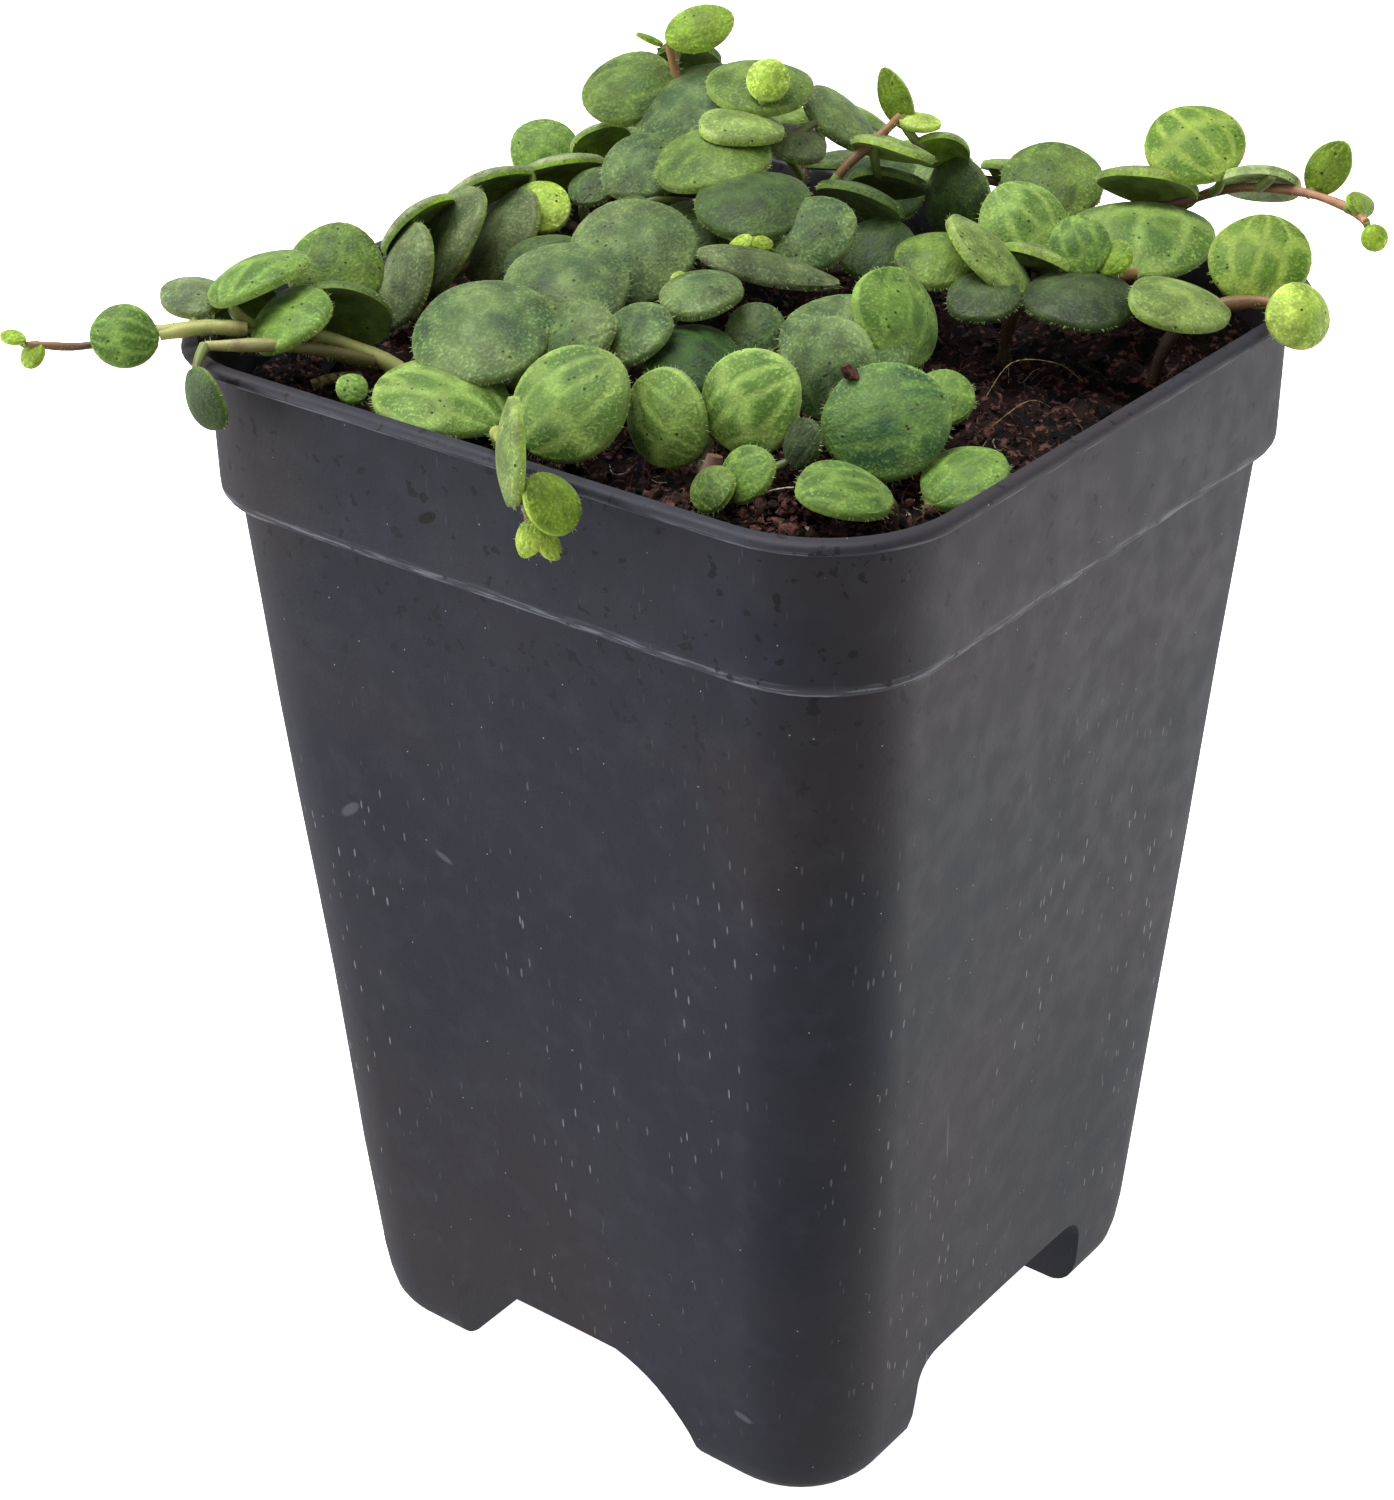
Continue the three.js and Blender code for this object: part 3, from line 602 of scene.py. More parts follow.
def lay_fibre(bm, tint, rng):
    """Lays one bent fibre on the soil, most often in the open front corner."""
    x, y = strew(rng, 0.5, 18, -17, 7, 8, 27)
    if max(abs(x), abs(y)) > 26 or abs(x) + abs(y) > 46:
        return
    heading = rng.uniform(0, 2 * math.pi)
    bend = rng.uniform(-0.8, 0.8)
    length = min(0.8 + rng.expovariate(0.7), 6)
    places = []
    for k in range(4):
        px = max(-FIBRE_REACH, min(FIBRE_REACH, x + math.cos(heading) * length * k / 3))
        py = max(-FIBRE_REACH, min(FIBRE_REACH, y + math.sin(heading) * length * k / 3))
        lift = 0.1 + rng.uniform(0, 0.22) * length * (k in (1, 2))
        places.append(Vector((px, py, crust(px, py) + lift)))
        heading += bend
    thick = rng.uniform(0.03, 0.08)
    colour = rng.choices([BROWN, RUSSET, PALE], [8, 9, 1])[0]
    strand(bm, tint, ride_along(places, 4), thick, 0.7, 4, colour)


whole, tint = tinted_mesh()
for _ in range(BATCHES):
    bm, tint = tinted_mesh()
    for _ in range(FIBRES):
        lay_fibre(bm, tint, rng)
    gather(whole, bm)
# Two long fibres stand up as loops, and the end of a cut stem has fallen by the left corner.
STRAW = linear(158, 146, 98)
LAID = [
    (0.035, STRAW, [(17.4, 3.2, 80.6), (18.3, 5.4, 83), (20.4, 8, 82.6), (21.2, 10.4, 80.6)]),
    (0.035, STRAW, [(20.5, -1.5, 80.6), (22.2, 1.4, 82.4), (22.6, 4.6, 80.7)]),
    (0.45, STRAW, [(-21.5, -23.5, 81.2), (-20.5, -22.2, 81.6), (-19.3, -20.7, 81.6)]),
    (0.26, RUSSET, [(-19.3, -20.7, 81.6), (-18.3, -19.4, 81.9), (-17.5, -18.1, 81.7)]),
]
bm, tint = tinted_mesh()
for thick, colour, points in LAID:
    strand(bm, tint, ride_along([Vector(point) for point in points], 6), thick, 0.4, 8, colour)
gather(whole, bm)
face_out(whole)
fibres = stand(whole, "coir_fibres")
smooth(fibres, 80)


def known(tree, name, out=0):
    """What the vertices know by a name, as a colour from output 0 or as three numbers from output 1."""
    return node(tree, "ShaderNodeAttribute", {"attribute_name": name}, out=out)


litter, tree, shader = finish_of("peat crumbs and fibres")
place = object_place(tree)
tinted = known(tree, "tint")
mottle = grain(tree, place, 2400, 3)
colour = mix(tree, fade(tree, mottle, 0.35, 0.65, 0.75, 0), tinted, linear(12, 8, 7))
plug(tree, shader, {
    "Base Color": colour,
    "Roughness": 0.85,
    "Normal": bump(tree, mottle, 0.0002),
    "Specular IOR Level": 0.12,
})
for piece in (crumbs, fibres):
    piece.data.materials.append(litter)
    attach(piece, "root")


# The leafy stems root in the soil, creep, heap up behind the middle and trail over the rim. Each is
# one grown body: woody stems, round leaf stalks, and thick velvety blades that are domed, pale at
# the rim and fringed with short hairs, with a pale net of veins between darker tiles on top.

# A place is (right, front, up) across the pot's diagonal, in millimetres. A stem or a stub is
# (radius, tone, places), and a leaf is (*place, width, faces, lean, tone, length over width, dome).
# Its upper side is turned by faces from the front to the right and tilted by lean, in degrees.
GROWTH = {}
GROWTH["left_runner"] = {
    "slot": "fresh_leaf",
    "stems": [
        (0.56, "straw", [
            (-24, 6, 77), (-24, 6, 81.5), (-29, 5, 84.2), (-35, 5.5, 85.7), (-40, 6, 85.8),
            (-44, 6, 85.5),
        ]),
        (0.3, "rust", [(-43, 6, 85.5), (-47, 7, 85), (-50.5, 8, 85.6)]),
        (0.5, "olive", [(-27, 6, 83.2), (-32, 8.5, 85.4), (-38, 9.5, 85.9)]),
    ],
    "leaves": [
        (-44, 7, 85.8, 4.6, 5, 50, "bright"),
        (-39.5, 3, 87.3, 4.8, 25, 12, "grey"),
        (-35, 3.5, 89, 7.6, -85, 20, "bright"),
        (-36.4, 1, 85.6, 5, -150, 65, "dark"),
        (-32.6, 6.5, 86.8, 6.3, -60, 32, "bright"),
        (-29, 3, 86, 6.8, 175, 60, "dark"),
        (-30, -1, 87.6, 7, 0, 45, "middling"),
        (-51.4, 8, 86.2, 1.3, 25, 20, "tip", 1.4),
        (-50.3, 8, 84.9, 2, -40, 50, "tip"),
        (-38, 12.9, 83.3, 4.2, -50, 90, "dark", 1.1),
    ],
    "stubs": [(0.5, "straw", [(-35.5, 6.6, 86), (-38.5, 7.4, 86.4), (-41.3, 8, 86.1)])],
}
GROWTH["left_sprout"] = {
    "slot": "fresh_leaf",
    "stems": [(0.35, "bark", [(-26.5, 12, 77), (-26.5, 12, 81), (-27.4, 12.5, 83.2)])],
    "leaves": [(-27.7, 13, 84.1, 2.2, 10, 45, "bright")],
}
GROWTH["left_rim_stem"] = {
    "slot": "dull_leaf",
    "stems": [
        (0.5, "bark", [
            (-10, -14, 77), (-10.5, -14, 82), (-13.5, -14, 86), (-17, -14, 85.6), (-21, -12, 84),
            (-25, -8, 82.3),
        ]),
        (0.4, "bark", [(-12, -14, 85.5), (-13, -19, 86.5), (-13.5, -23, 87.5)]),
    ],
    "leaves": [
        (-25.8, -6.2, 85.2, 8, -70, 70, "ashen"),
        (-22.7, -10.2, 86.3, 8.8, -73, 60, "ashen"),
        (-18.9, -12, 86.1, 8.2, -70, 52, "ashen"),
        (-25, -10, 88, 6.6, -125, 50, "lime_under"),
        (-20, -16, 88.6, 7.2, -145, 38, "lime_under"),
        (-14.3, -18.5, 89, 6.7, -165, 37, "lime_under"),
        (-15.8, -24, 88.7, 5.4, 0, 50, "bright"),
        (-11.5, -23, 89.7, 4.8, -160, 60, "lime_under"),
        (-12, -14.5, 89, 3.6, -25, 30, "dull"),
        (-15.7, -13.4, 87.9, 4.4, 5, 40, "lime"),
    ],
}
GROWTH["middle_left_stem"] = {
    "slot": "dull_leaf",
    "stems": [
        (0.5, "bark", [(-12, 7, 77), (-12, 7, 82), (-12, 6, 84.5), (-9, 2, 86), (-6, -2, 87)]),
        (0.5, "bark", [(-12, 6.5, 84), (-17, 12, 83.6), (-22, 16, 82.6)]),
        (0.4, "straw", [(-11, 5, 84.5), (-8, 8.5, 85.8), (-5.8, 8.8, 87)]),
        (0.4, "bark", [(-12, 7, 83), (-16, 4, 84), (-19, 1, 84.2)]),
    ],
    "leaves": [
        (-21.4, 15.5, 84.7, 9.2, 30, 15, "netted"),
        (-18.8, 11, 87.4, 10, -20, 23, "dull"),
        (-13.3, 6, 88.7, 9, -10, 28, "dull"),
        (-8.7, 1, 89.6, 9.2, -8, 36, "dull"),
        (-12.4, 13.2, 88, 5.2, -45, 45, "dull"),
        (-8.4, 12.8, 88, 5.2, -50, 30, "dull"),
        (-4, 9.5, 89.5, 5.6, -45, 15, "dull"),
        (-5.4, 6.5, 89.2, 1.3, 0, 40, "tip"),
        (-20.6, 2.6, 86, 6.2, -60, 18, "dark"),
        (-15.2, -4, 87, 6, -30, 22, "dark"),
    ],
}
GROWTH["front_drooping_stem"] = {
    "slot": "fresh_leaf",
    "stems": [
        (0.42, "fading", [
            (-17, 20, 77), (-17, 20, 81.5), (-17.4, 23.5, 85), (-16.8, 27.5, 86.4),
            (-15.8, 31, 85.4), (-14.6, 32.5, 82.4),
        ]),
    ],
    "leaves": [
        (-12.8, 20, 85.8, 8.2, -30, 54, "netted"),
        (-16.1, 31, 87, 6.9, -85, 88, "pale"),
        (-13.3, 33.5, 84.7, 4.1, 50, 48, "young"),
        (-15, 33, 82, 1.8, -30, 75, "tip", 1.5),
        (-13.6, 33, 81.5, 1.5, 40, 70, "tip", 1.5),
    ],
}
GROWTH["crown_stems"] = {
    "slot": "fresh_leaf",
    "stems": [
        (0.5, "rust", [
            (-1, -10, 77), (-1, -10, 84), (-1, -12, 89), (-3, -16, 92), (-5.2, -19.5, 95),
            (-6, -20, 98.2),
        ]),
        (0.4, "rust", [(-1, -12, 88.5), (1, -13, 91.5), (0.5, -12.5, 94)]),
        (0.4, "bark", [(-1, -10.5, 86), (1, -5, 87.5), (1, 0, 88.2)]),
        (0.25, "rust", [(0.5, -12.5, 94), (0.3, -12, 95.8), (0.9, -12, 97)]),
    ],
    "leaves": [
        (-9.2, -20, 95, 7, -20, 32, "middling"),
        (-3.8, -20, 99.4, 3.9, -10, 40, "young", 1.4),
        (-7.4, -20, 98.6, 0.9, 80, 25, "young", 2.4),
        (-4.5, -23, 96.4, 5, 170, 40, "dark"),
        (-4.4, -17, 94.5, 9.2, -50, 29, "dull"),
        (0.7, -15, 96.6, 8, 10, 12, "middling"),
        (1.2, -12, 97.7, 3.2, 0, 56, "lime"),
        (-0.7, -11, 94.8, 6.3, 88, 8, "pale"),
        (3.3, -14, 92.5, 4.8, 33, 18, "ashen"),
        (6.9, -18, 93, 6.5, 70, 38, "dull"),
        (-7.9, -12, 91.4, 6.5, -6, 25, "dull"),
        (-2.9, -9, 92.9, 8.6, -34, 12, "middling"),
        (-0.1, -3, 91.7, 8.4, 0, 18, "dark"),
        (4, 0, 90.3, 6.2, -22, 37, "dull"),
        (-1.2, 2, 90, 1.6, -40, 45, "tip", 1.4),
        (0.5, 2, 90.2, 1.2, 40, 40, "tip", 1.4),
        (-4.6, -5.4, 88.6, 6, -10, 25, "dark"),
        (-10, -7.4, 89, 5, -60, 25, "dark"),
    ],
}
GROWTH["right_tip_stem"] = {
    "slot": "fresh_leaf",
    "stems": [
        (0.42, "rust", [
            (6, -9, 77), (6, -9, 83), (5, -10, 87), (6.3, -10, 91), (9.3, -11, 93.6),
            (10.9, -11.6, 95),
        ]),
        (0.42, "bark", [(6, -9, 84), (9.5, -6, 85.5), (13.5, -5.5, 86)]),
    ],
    "leaves": [
        (10.5, -12, 96, 2.4, -20, 85, "young", 2.05),
        (12.2, -11.2, 94.8, 2.2, 0, 15, "lime", 1.5),
        (13.9, -12, 92.4, 4.4, 175, 48, "lime_under"),
        (10.3, -9.5, 93.3, 5, 145, 30, "pale", 1.5),
        (10.2, -14, 89.4, 6, 170, 33, "dark"),
        (7.9, -7.5, 90.4, 5.6, 143, 38, "dark", 1.35),
        (14.9, -11, 88.8, 6.1, -45, 80, "dark"),
        (12.9, -1, 88, 6, -7, 17, "middling"),
        (8.9, -3, 88, 5.7, -5, 25, "dark"),
    ],
}
GROWTH["right_mound_stem"] = {
    "slot": "fresh_leaf",
    "stems": [
        (0.5, "rust", [(18, 0, 77), (18, 0, 82), (19, 1, 85.4), (23, 1.5, 86.9), (27, 0, 86.9)]),
        (0.4, "rust", [(19, 1, 84.5), (20, -5, 86), (22, -11, 86.6)]),
    ],
    "leaves": [
        (16.9, 0, 88.3, 8, 85, 42, "pale"),
        (19.5, -4, 89.4, 6.6, 13, 46, "netted"),
        (20.8, -1.5, 87.4, 6.6, 138, 36, "pale"),
        (22.7, -15.5, 88.7, 7.8, -9, 36, "middling"),
        (28.2, -6, 88, 10.8, -6, 15, "netted"),
        (22.9, 0.5, 89.3, 4.4, -8, 50, "bright"),
        (25.2, 1, 88.5, 2.8, -37, 42, "young"),
        (15.9, 3.9, 86.9, 5.2, -9, 17, "dusty"),
        (22.6, 3.6, 86.6, 8, 0, 8, "dusty"),
    ],
}
GROWTH["right_lower_runner"] = {
    "slot": "fresh_leaf",
    "stems": [
        (0.5, "rust", [
            (28, 4, 77), (28.5, 4, 82), (31, 3.5, 85.2), (35, 3.5, 86), (37, 4.5, 86),
        ]),
    ],
    "leaves": [
        (35.7, 0.5, 88.2, 7.3, -13, 43, "turtle"),
        (37.8, 6, 85.9, 5, 25, 55, "lime", 0.96, 0.5),
        (29.6, 5.4, 86.9, 6.8, 85, 20, "pale", 1.4),
    ],
}
GROWTH["right_upper_runner"] = {
    "slot": "fresh_leaf",
    "stems": [
        (0.38, "salmon", [
            (27, -14, 77), (27.5, -14, 83), (29, -12.5, 86.8), (32, -11, 88.4), (35, -9.5, 89.9),
            (38.8, -6, 90.9), (41.7, -2.5, 91), (43, 0.5, 90.7),
        ]),
    ],
    "leaves": [
        (32.4, -10.5, 93.2, 7.4, -12, 32, "turtle"),
        (29.4, -11.5, 89.9, 7.6, 154, 40, "pale"),
        (37, -8.5, 90.9, 6, 160, 33, "olive", 1.3),
        (41.2, -5.5, 92.6, 3.1, -25, 80, "young", 1.45),
        (43, -1.5, 91.4, 2.1, 60, 45, "young", 1.6),
        (43.5, 1.5, 89.9, 1.9, 0, 60, "tip"),
    ],
}
GROWTH["front_middle_stem"] = {
    "slot": "fresh_leaf",
    "stems": [
        (0.5, "bark", [
            (-4, 23, 77), (-4, 23, 81.5), (-3.6, 21.5, 83.4), (-3, 18, 84.2), (-3.5, 14, 84.6),
        ]),
        (0.4, "bark", [(-3.8, 22.5, 82.5), (-3, 26, 83), (-2.5, 29, 83.2)]),
    ],
    "leaves": [
        (-4.6, 13.8, 86.4, 6.5, 2, 22, "deep"),
        (-6.5, 21, 84.9, 6.7, -40, 80, "netted"),
        (-0.2, 10.4, 87, 4.2, 0, 40, "dull"),
        (-1, 23, 86.8, 7, -34, 74, "netted"),
        (2.2, 26, 85.2, 3.3, -54, 75, "dusty"),
        (-1.4, 30, 84.9, 3.9, -47, 53, "bright"),
        (-3.5, 31, 84.4, 3.2, -50, 45, "middling"),
    ],
    "stubs": [(0.8, "flesh", [(-3.8, 27.4, 80), (-3.6, 26.8, 82.5), (-3.2, 26.4, 84.6)])],
}
GROWTH["front_right_stem"] = {
    "slot": "dull_leaf",
    "stems": [
        (0.5, "bark", [(8, 18, 77), (8, 18, 81.5), (7.5, 16.5, 83.6), (7, 13, 84.4)]),
        (0.4, "bark", [(8, 17.8, 82.5), (10, 20, 83), (12, 20.5, 82.8)]),
    ],
    "leaves": [
        (5.7, 13.5, 87.2, 8.8, -4, 26, "dull"),
        (4.4, 18, 87, 6.9, -36, 72, "dull"),
        (8, 23, 85.6, 8.3, -4, 44, "blue"),
        (9.4, 12, 88.4, 7.2, 48, 54, "bright"),
        (12.1, 17.8, 85, 4.2, -6, 38, "bright"),
    ],
}
GROWTH["corner_leaf"] = {
    "slot": "fresh_leaf",
    "stems": [(0.4, "bark", [(8, 31, 79), (8, 31, 82.5), (7.2, 31.6, 84.2)])],
    "leaves": [(5, 33, 85.2, 5.6, 70, 22, "bright", 1.2)],
}
GROWTH["corner_sprout"] = {
    "slot": "fresh_leaf",
    "stems": [(0.4, "bark", [(10.5, 27.5, 77), (10.5, 27.5, 80.5), (10.5, 27.5, 81.6)])],
    "leaves": [(12.8, 26.1, 83, 5.8, -42, 24, "bright")],
}
GROWTH["back_left_stem"] = {
    "slot": "dull_leaf",
    "stems": [
        (0.45, "bark", [
            (-7, -27.5, 77), (-7, -27.5, 82), (-7.5, -30.5, 85.2), (-5.5, -34, 86),
            (-4.2, -38, 86),
        ]),
    ],
    "leaves": [
        (-11.3, -29, 87.6, 6.2, -120, 26, "dull"),
        (-3.8, -30, 88.2, 6.6, 150, 20, "middling"),
        (-8.6, -35, 87.4, 6, -140, 28, "netted"),
        (-1.4, -36, 87.6, 6.2, 165, 24, "bright"),
        (-5.4, -40.6, 87, 5.4, 180, 30, "turtle"),
    ],
}
GROWTH["back_stem"] = {
    "slot": "dull_leaf",
    "stems": [
        (0.45, "rust", [
            (4, -26, 77), (4, -26, 82.5), (4.6, -28.5, 85.6), (6, -33, 86.4), (5.8, -38, 86.6),
            (5.6, -41.2, 84.6),
        ]),
    ],
    "leaves": [
        (0.6, -24.5, 88.6, 6.6, -170, 18, "dull"),
        (3.2, -31, 88.8, 6, -160, 25, "middling"),
        (8.8, -34.6, 88, 5.6, 150, 30, "netted"),
        (3.4, -40, 86, 4.2, -170, 50, "bright"),
        (7.8, -40.6, 85.4, 3.6, 150, 60, "young"),
        (5.6, -42.2, 83, 2, 180, 75, "tip"),
    ],
}
GROWTH["back_right_stem"] = {
    "slot": "dull_leaf",
    "stems": [
        (0.45, "bark", [
            (11, -23, 77), (11, -23, 82), (12.5, -25.5, 84.8), (16.5, -25, 85.8), (21, -22.5, 86),
        ]),
    ],
    "leaves": [
        (7.6, -24.5, 87.6, 6.2, 170, 20, "dull"),
        (10.2, -18.4, 87.4, 6.4, 5, 30, "dark"),
        (10.2, -29.3, 87.4, 6, 150, 26, "netted"),
        (14.6, -21.6, 87.6, 6.4, 120, 15, "dull"),
        (15, -27.4, 87.2, 5.8, 140, 28, "bright"),
        (20.8, -23.4, 86.9, 5.4, 135, 28, "netted"),
        (24.8, -20.4, 87.2, 5.4, 110, 30, "bright"),
    ],
}
GROWTH["dry_leaf"] = {
    "slot": "dry_leaf",
    "stems": [],
    "leaves": [(0.7, 5.5, 89.8, 3.8, 50, 20, "dry", 2.7)],
}

# A tone is the colour of a blade's tiles, of its veins, of its underside, and how strong its net is.
TONES = {
    "turtle": ((74, 108, 16), (124, 148, 56), (150, 174, 84), 1.0),
    "netted": ((70, 102, 30), (122, 148, 70), (128, 156, 80), 0.9),
    "bright": ((66, 100, 28), (112, 142, 60), (132, 162, 66), 0.75),
    "young": ((90, 120, 16), (122, 148, 44), (156, 182, 62), 0.5),
    "tip": ((122, 152, 32), (150, 171, 64), (168, 194, 70), 0.2),
    "lime": ((137, 168, 54), (172, 194, 90), (168, 194, 76), 0.3),
    "pale": ((87, 111, 45), (121, 142, 72), (132, 158, 62), 0.4),
    "middling": ((62, 90, 24), (104, 127, 52), (122, 148, 62), 0.5),
    "deep": ((14, 44, 4), (48, 82, 18), (92, 122, 42), 0.8),
    # The "dark" tone is partly the leaves' own darker green and partly painted shade: the low leaves
    # tucked into the gaps under the others wear it so that the gaps read darker.
    "dark": ((34, 58, 16), (66, 88, 36), (94, 118, 48), 0.5),
    "dusty": ((30, 46, 18), (66, 84, 42), (60, 70, 36), 0.3),
    "dull": ((48, 74, 34), (100, 120, 66), (112, 136, 72), 0.4),
    "blue": ((42, 78, 36), (98, 128, 56), (112, 136, 72), 0.6),
    "grey": ((81, 102, 59), (117, 133, 88), (120, 142, 84), 0.3),
    # The grey-green tops of the "ashen" and "lime_under" leaves are partly their own colour and partly a
    # painted sheen, the pale cast that light grazing their hairs gives.
    "ashen": ((62, 78, 40), (100, 113, 70), (124, 148, 58), 0.3),
    "olive": ((112, 132, 76), (124, 144, 84), (178, 198, 130), 0.2),
    # The bright yellow-green underside of "lime_under" is painted light: the glow of light shining
    # through the blade from behind.
    "lime_under": ((95, 111, 69), (122, 135, 91), (120, 156, 26), 0.3),
    "dry": ((66, 82, 40), (112, 126, 82), (98, 102, 74), 0.1),
}
STEM_TONES = {
    "straw": ((150, 152, 84), (156, 160, 80)),
    "rust": ((58, 42, 30), (142, 104, 60)),
    "bark": ((54, 40, 30), (104, 92, 56)),
    "fading": ((150, 176, 74), (118, 88, 54)),
    "salmon": ((58, 42, 32), (180, 128, 94)),
    "olive": ((88, 86, 40), (158, 154, 96)),
    "flesh": ((66, 44, 37), (100, 72, 60)),
}
STALK_TONE = linear(118, 132, 62)
HAIR_TONE = linear(160, 176, 116)
DIAGONAL = math.radians(38)
BLADE_STEPS = 30
BLADE_RINGS = [0.04, 0.09, 0.13, 0.16, 0.18, 0.18]
STALK_RADIUS = 0.42
STEM_STEPS = 6
# The length over width and the dome of a leaf whose row gives none.
LONG = 1.04
DOME = 0.26
# Hairs to each millimetre of a blade's width and of a stem's length.
BLADE_HAIRS = 10
STEM_HAIRS = 8
HAIR_LENGTHS = (0.16, 0.42)
HAIR_THICK = 0.024
STEM_FINISH = 1
HAIR_FINISH = 2


def spot(right, front, up):
    """Turns a place across the diagonal into the pot's own axes."""
    c, s = math.cos(DIAGONAL), math.sin(DIAGONAL)
    return Vector((right * c + front * s, right * s - front * c, up))


def facing(faces, lean):
    """The way that a blade's upper side looks."""
    f, l = math.radians(faces), math.radians(lean)
    return spot(math.sin(l) * math.sin(f), math.sin(l) * math.cos(f), math.cos(l))


def blade_blank():
    """A flat round blade. Its vertices know their place on it and their side, 1 on top and -1 below."""
    bm = bmesh.new()
    place = bm.verts.layers.float_color.new("place")
    bmesh.ops.create_circle(bm, cap_ends=True, segments=BLADE_STEPS, radius=1)
    heart = bm.faces[:]
    for step in BLADE_RINGS:
        bmesh.ops.inset_region(bm, faces=heart, thickness=step, use_even_offset=True, use_boundary=True)
    bmesh.ops.poke(bm, faces=heart)
    face_out(bm)
    made = bmesh.ops.extrude_face_region(bm, geom=bm.faces[:], use_keep_orig=True)["geom"]
    top = {g for g in made if isinstance(g, bmesh.types.BMVert)}
    for vert in bm.verts:
        vert[place] = (*vert.co.xy * 0.985, 1 if vert in top else -1, 1)
    walls = [e for e in bm.edges if len(top & set(e.verts)) == 1]
    for middle in bmesh.ops.subdivide_edges(bm, edges=walls, cuts=1)["geom_inner"]:
        if isinstance(middle, bmesh.types.BMVert):
            middle[place] = (*middle.co.xy, 0, 1)
    mesh = bpy.data.meshes.new("blade")
    bm.to_mesh(mesh)
    bm.free()
    return mesh


def shape_blade(verts, place, width, long, dome, rng):
    """Bends a blank into a blade in its own axes: its base toward -X, its upper side toward +Z."""
    half = width / 2
    point = 0.05 + 0.16 * min(max(long - 1.1, 0), 0.8)
    rise = half * dome
    thick = min(1, 0.35 + width / 9)
    wave = rng.uniform(0.02, 0.06) * half
    phase = rng.uniform(0, 6.3)
    droop = rng.uniform(0, 0.05) * half
    for vert in verts:
        x, y, side, _ = vert[place]
        out = math.hypot(x, y)
        turn = math.atan2(y, x)
        tip = max(math.cos(turn), 0) ** 10 + 0.6 * max(-math.cos(turn), 0) ** 14
        reach = 1 + point * tip * out * out
        depth = thick * (0.95 - 0.3 * out * out)
        height = rise * (1 - out * out) + wave * out * out * math.sin(2 * turn + phase)
        height -= droop * (x + 1) * (x + 1) * 0.25 * half
        height -= depth * (1 - side) / 2
        vert.co = (x * reach * half * long / (1 + 0.7 * point), y * reach * half, height)


def paint(verts, patch, colour, finish):
    """Gives vertices a colour, and the faces round them a finish by its number on the piece."""
    for vert in verts:
        vert[patch] = colour
        for face in vert.link_faces:
            face.material_index = finish


def fringe(bm, patch, base, heading, length, thick):
    """Plants one short hair."""
    turn = heading.to_track_quat("Z", "Y").to_matrix().to_4x4()
    seat = Matrix.Translation(base + heading * (length / 2 - 0.03)) @ turn
    cone = {"radius1": thick, "radius2": 0, "depth": length, "cap_ends": True}
    made = bmesh.ops.create_cone(bm, segments=3, matrix=seat, **cone)
    paint(made["verts"], patch, HAIR_TONE, HAIR_FINISH)


blank = blade_blank()


def leaf(bm, layers, row, curves, rng):
    """Grows one blade with its stalk and its fringe."""
    right, front, up, width, faces, lean, tone, *more = row
    long = more[0] if more else LONG
    dome = more[1] if len(more) > 1 else DOME
    place, trait, patch, vein, under = layers
    middle = spot(right, front, up)
    normal = facing(faces, lean)
    places = [p for curve in curves for p in curve]
    origin = min(places, key=lambda p: (p - middle).length) if places else middle - spot(1, 0, 0)
    along = middle - origin
    along = (along - normal * along.dot(normal)).normalized()
    sideways = normal.cross(along)
    seat = Matrix((along, sideways, normal)).transposed().to_4x4()
    seat.translation = middle
    bm.from_mesh(blank)
    verts = bm.verts[:]
    shape_blade(verts, place, width, long, dome, rng)
    *tones, strength = TONES[tone]
    tiles, net, below = (linear(*each) for each in tones)
    shade = rng.uniform(0.9, 1.1)
    seed = rng.random()
    for vert in verts:
        vert.co = seat @ vert.co
        vert[trait] = (seed, strength, 0, 1)
        vert[patch] = (*(c * shade for c in tiles[:3]), 1)
        vert[vein] = (*(c * shade for c in net[:3]), 1)
        vert[under] = below
    edge = [v for v in verts if v[place].z == 0]
    edge.sort(key=lambda v: math.atan2(v[place].y, v[place].x))
    for _ in range(int(BLADE_HAIRS * width)):
        k = rng.randrange(len(edge))
        base = edge[k].co.lerp(edge[(k + 1) % len(edge)].co, rng.random())
        heading = (base - middle).normalized() + normal * rng.uniform(-0.5, 0.5)
        heading = (heading + sideways * rng.uniform(-0.25, 0.25)).normalized()
        fringe(bm, patch, base, heading, rng.uniform(*HAIR_LENGTHS), HAIR_THICK)
    if not curves:
        return
    inner = 0.8 * min(1, width / 3)
    root = middle - along * (0.5 * width * long - inner) + normal * (inner * DOME - 0.55)
    radius = min(STALK_RADIUS, 0.1 * width + 0.1)
    reach = (root - origin).length
    bend = root - along * 0.3 * reach - normal * 0.3
    points = ride_along([origin, origin.lerp(bend, 0.55), bend.lerp(root, 0.5), root], 3)
    radii = [radius * (1 - 0.45 * i / len(points)) for i in range(len(points))]
    for k, ring in enumerate(grow(bm, points, radii, 8)):
        colour = [s + (t - s) * k / len(points) for s, t in zip(STALK_TONE, tiles)]
        paint(ring, patch, colour, STEM_FINISH)


